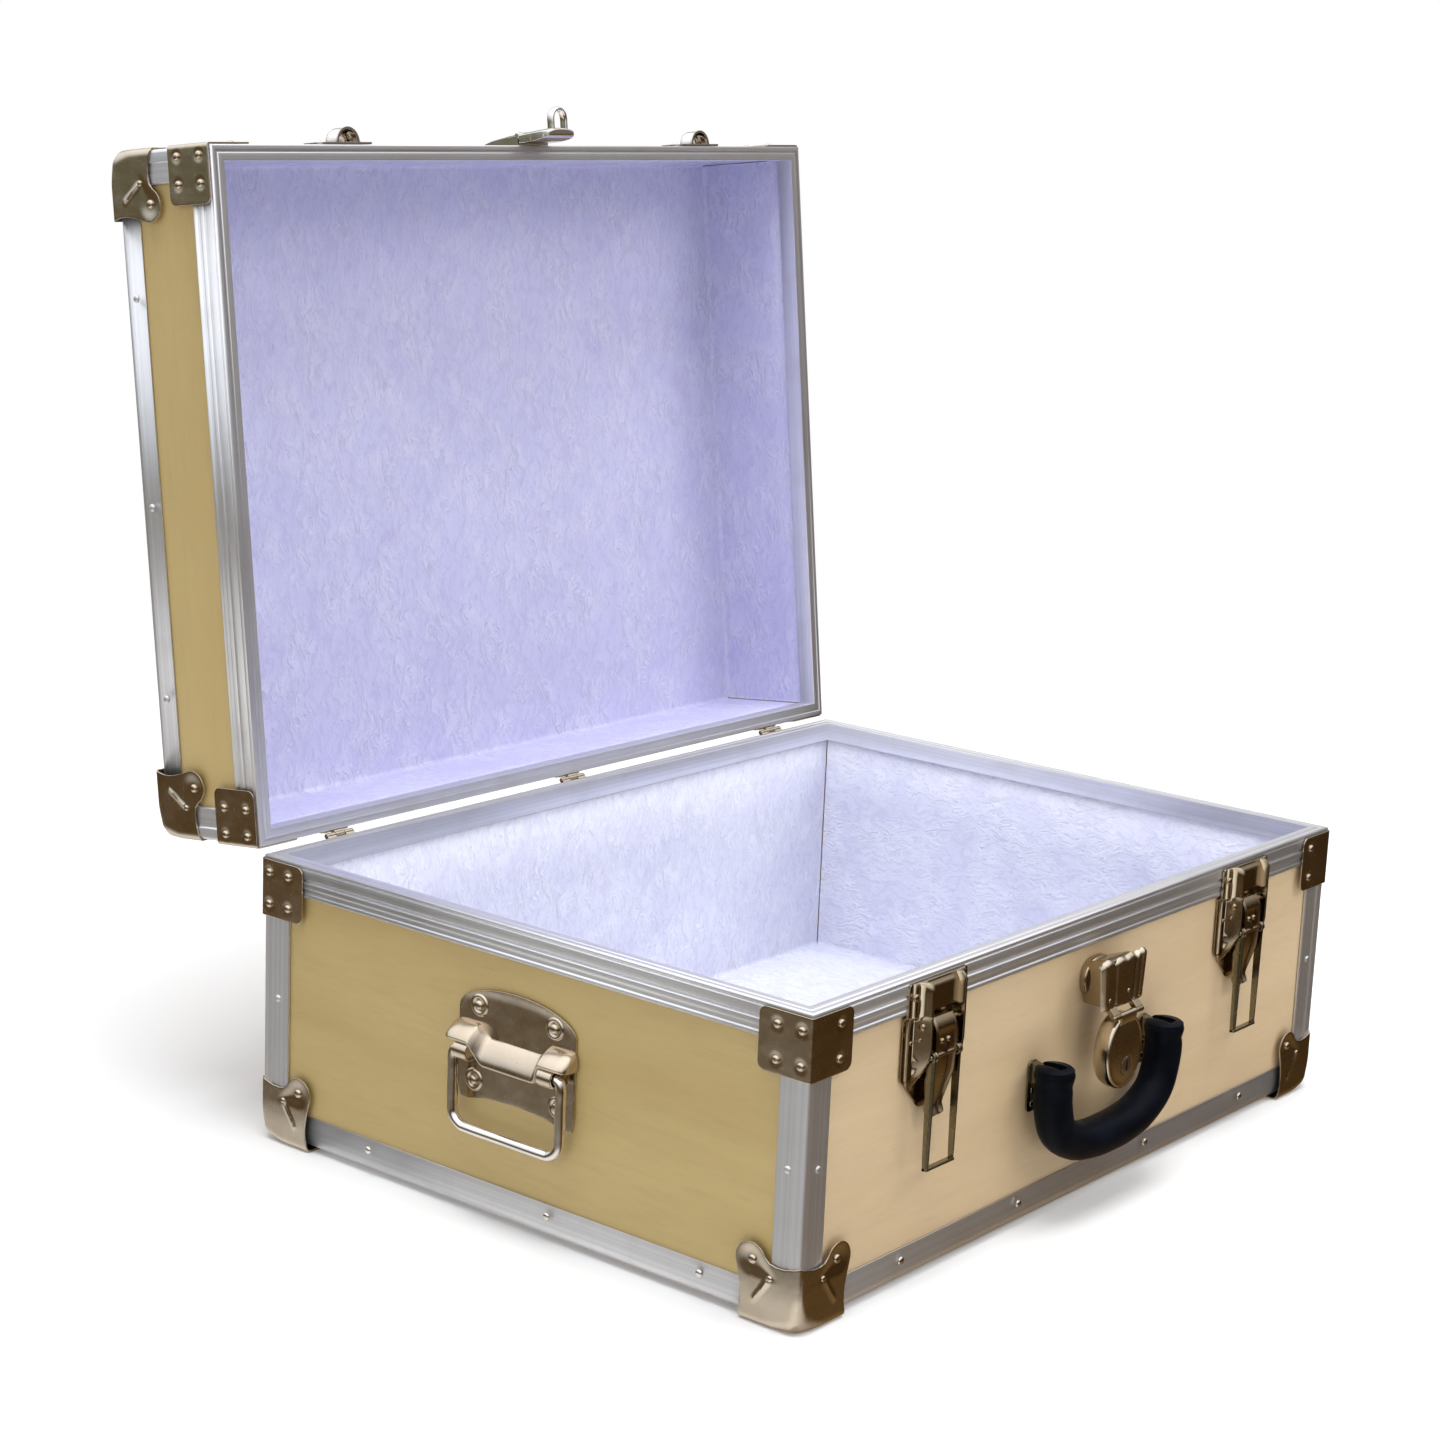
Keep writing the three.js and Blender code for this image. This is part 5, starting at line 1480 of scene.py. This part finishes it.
# ---------------------------------------------------------------- floor, light and camera
def add_floor():
    """Pale floor that fades out round the case. Metal mirrors it only close by, on the left side."""
    mesh = bpy.data.meshes.new("floor")
    half = 14.0
    mesh.from_pydata([(sx * half, sy * half, 0) for sx, sy in QUARTERS], [], [(0, 1, 2, 3)])
    floor = bpy.data.objects.new("studio_floor", mesh)
    bpy.context.scene.collection.objects.link(floor)
    floor.location.z = CAD_BOUNDS[0][2] - 0.0002
    shader = Shader("studio_floor", Base_Color=(0.9, 0.9, 0.9, 1), Roughness=0.9, Specular_IOR_Level=0.1)
    at = shader.place()
    reach = shader.add("ShaderNodeVectorMath", {"Vector": at}, operation="LENGTH").outputs["Value"]
    fade = shader.spread(reach, 1, 0, 0.75, 1.6)  # metres from the case's middle
    path = shader.add("ShaderNodeLightPath").outputs
    across = shader.add("ShaderNodeSeparateXYZ", {"Vector": at}).outputs["X"]
    left = shader.spread(across, 0.55, 0, -HALF_W * MM, -HALF_W * MM + 0.03)
    mirrored = shader.maths("MULTIPLY", left, shader.spread(path["Ray Length"], 1, 0, 0.04, 0.085))
    hidden = shader.maths("MULTIPLY", path["Is Glossy Ray"], shader.maths("SUBTRACT", 1.0, mirrored))
    shader.set(Alpha=shader.maths("MULTIPLY", fade, shader.maths("SUBTRACT", 1.0, hidden)))
    mesh.materials.append(shader.material)


def area_light(name, position, aim, size, power, colour=(1, 1, 1)):
    light = bpy.data.lights.new(name, "AREA")
    light.shape = "DISK"
    light.size = size
    light.energy = power
    light.color = colour
    made = bpy.data.objects.new(name, light)
    bpy.context.scene.collection.objects.link(made)
    made.location = position
    made.visible_glossy = False
    made.rotation_euler = (Vector(aim) - Vector(position)).to_track_quat("-Z", "Y").to_euler()


SKY_SCALE = 2.0  # no stop is brighter than this
SKY_STOPS = [
    # height of the direction (its z), then the colour seen towards the left and towards the front
    (-1.0, (1.1, 1.07, 1.03), (0.3, 0.2, 0.1)),
    (-0.6, (0.95, 0.93, 0.9), (0.22, 0.14, 0.062)),
    (-0.43, (0.42, 0.42, 0.42), (0.15, 0.09, 0.036)),
    (-0.345, (0.2, 0.165, 0.12), (0.08, 0.045, 0.016)),
    (-0.26, (0.11, 0.066, 0.026), (0.05, 0.026, 0.008)),
    (-0.1, (0.12, 0.083, 0.045), (0.07, 0.045, 0.02)),
    (0.0, (0.2, 0.22, 0.16), (0.1, 0.075, 0.05)),
    (0.1, (0.62, 0.66, 0.72), (0.14, 0.115, 0.09)),
    (0.25, (1.05, 1.08, 1.15), (0.26, 0.23, 0.22)),
    (0.5, (1.4, 1.42, 1.48), (0.8, 0.78, 0.8)),
    (1.0, (1.9, 1.9, 1.95), (1.9, 1.9, 1.95)),
]


def sky_ramp(nodes, height, column):
    """Colour by height; a ramp holds no value above one, so the bright stops are scaled back."""
    ramp = nodes.add("ShaderNodeValToRGB", {"Fac": height})
    while len(ramp.color_ramp.elements) < len(SKY_STOPS):
        ramp.color_ramp.elements.new(0.5)
    for element, stop in zip(ramp.color_ramp.elements, SKY_STOPS):
        element.position = (stop[0] + 1) / 2
        element.color = (*[c / SKY_SCALE for c in stop[column]], 1)
    return ramp.outputs["Color"]


def add_world():
    """White backdrop and even pale light, while mirrors see an open sky over ground: grey paving
    to the left, dark earth to the front."""
    world = bpy.data.worlds.new("studio")
    bpy.context.scene.world = world
    world.use_nodes = True
    world.node_tree.nodes.clear()
    nodes = Nodes(world.node_tree)
    look = nodes.add("ShaderNodeTexCoord").outputs["Generated"]
    height = nodes.add("ShaderNodeSeparateXYZ", {0: look}).outputs["Z"]
    height = nodes.spread(height, 0, 1, -1, 1)
    leftward = nodes.add("ShaderNodeVectorMath", {0: look, 1: (-0.8, 0.6, 0)},
                         operation="DOT_PRODUCT").outputs["Value"]
    side = nodes.spread(leftward, 0, 1, -0.35, 0.5, interpolation_type="SMOOTHSTEP")
    ground_and_sky = nodes.blend(side, sky_ramp(nodes, height, 2), sky_ramp(nodes, height, 1))

    def background(colour, strength):
        inputs = {"Color": colour, "Strength": strength}
        return nodes.add("ShaderNodeBackground", inputs).outputs[0]

    def either(share, a, b):
        return nodes.add("ShaderNodeMixShader", {0: share, 1: a, 2: b}).outputs[0]

    path = nodes.add("ShaderNodeLightPath").outputs
    lit = either(path["Is Glossy Ray"], background((0.96, 0.97, 1.0, 1), 0.62),
                 background(ground_and_sky, SKY_SCALE))
    nodes.add("ShaderNodeOutputWorld", {
        "Surface": either(path["Is Camera Ray"], lit, background((1, 1, 1, 1), 1)),
    })


def add_camera():
    lens = bpy.data.cameras.new("camera")
    lens.sensor_width = 36
    lens.lens = 73.37
    lens.clip_start = 0.05
    camera = bpy.data.objects.new("camera", lens)
    bpy.context.scene.collection.objects.link(camera)
    camera.location = (-1.5380, -1.1440, 0.7065)
    camera.rotation_euler = Euler([math.radians(v) for v in (77.228, -2.368, -50.684)])
    bpy.context.scene.camera = camera


def add_studio():
    add_floor()
    add_world()
    area_light("key", (1.6, -2.6, 2.6), (0, 0, 0.2), 2.2, 54, (1, 0.985, 0.96))
    area_light("overhead", (-0.3, -0.1, 3.2), (0, 0, 0), 2.4, 100, (0.96, 0.98, 1))
    area_light("left_fill", (-3.2, -0.4, 1.3), (0, 0, 0.2), 1.8, 14, (1, 0.97, 0.9))
    bpy.context.scene.view_settings.view_transform = "Standard"
    add_camera()


paint_panels()
MESHES = {"corner": corner_mesh(), "bracket": [bracket_mesh(True), bracket_mesh(False)]}
add_shell("base", BASE_HEIGHT, MESHES)
add_shell("lid", LID_HEIGHT, MESHES)
add_latches()
add_lock()
add_grip()
add_chest_handles()
add_hinges()
add_studio()
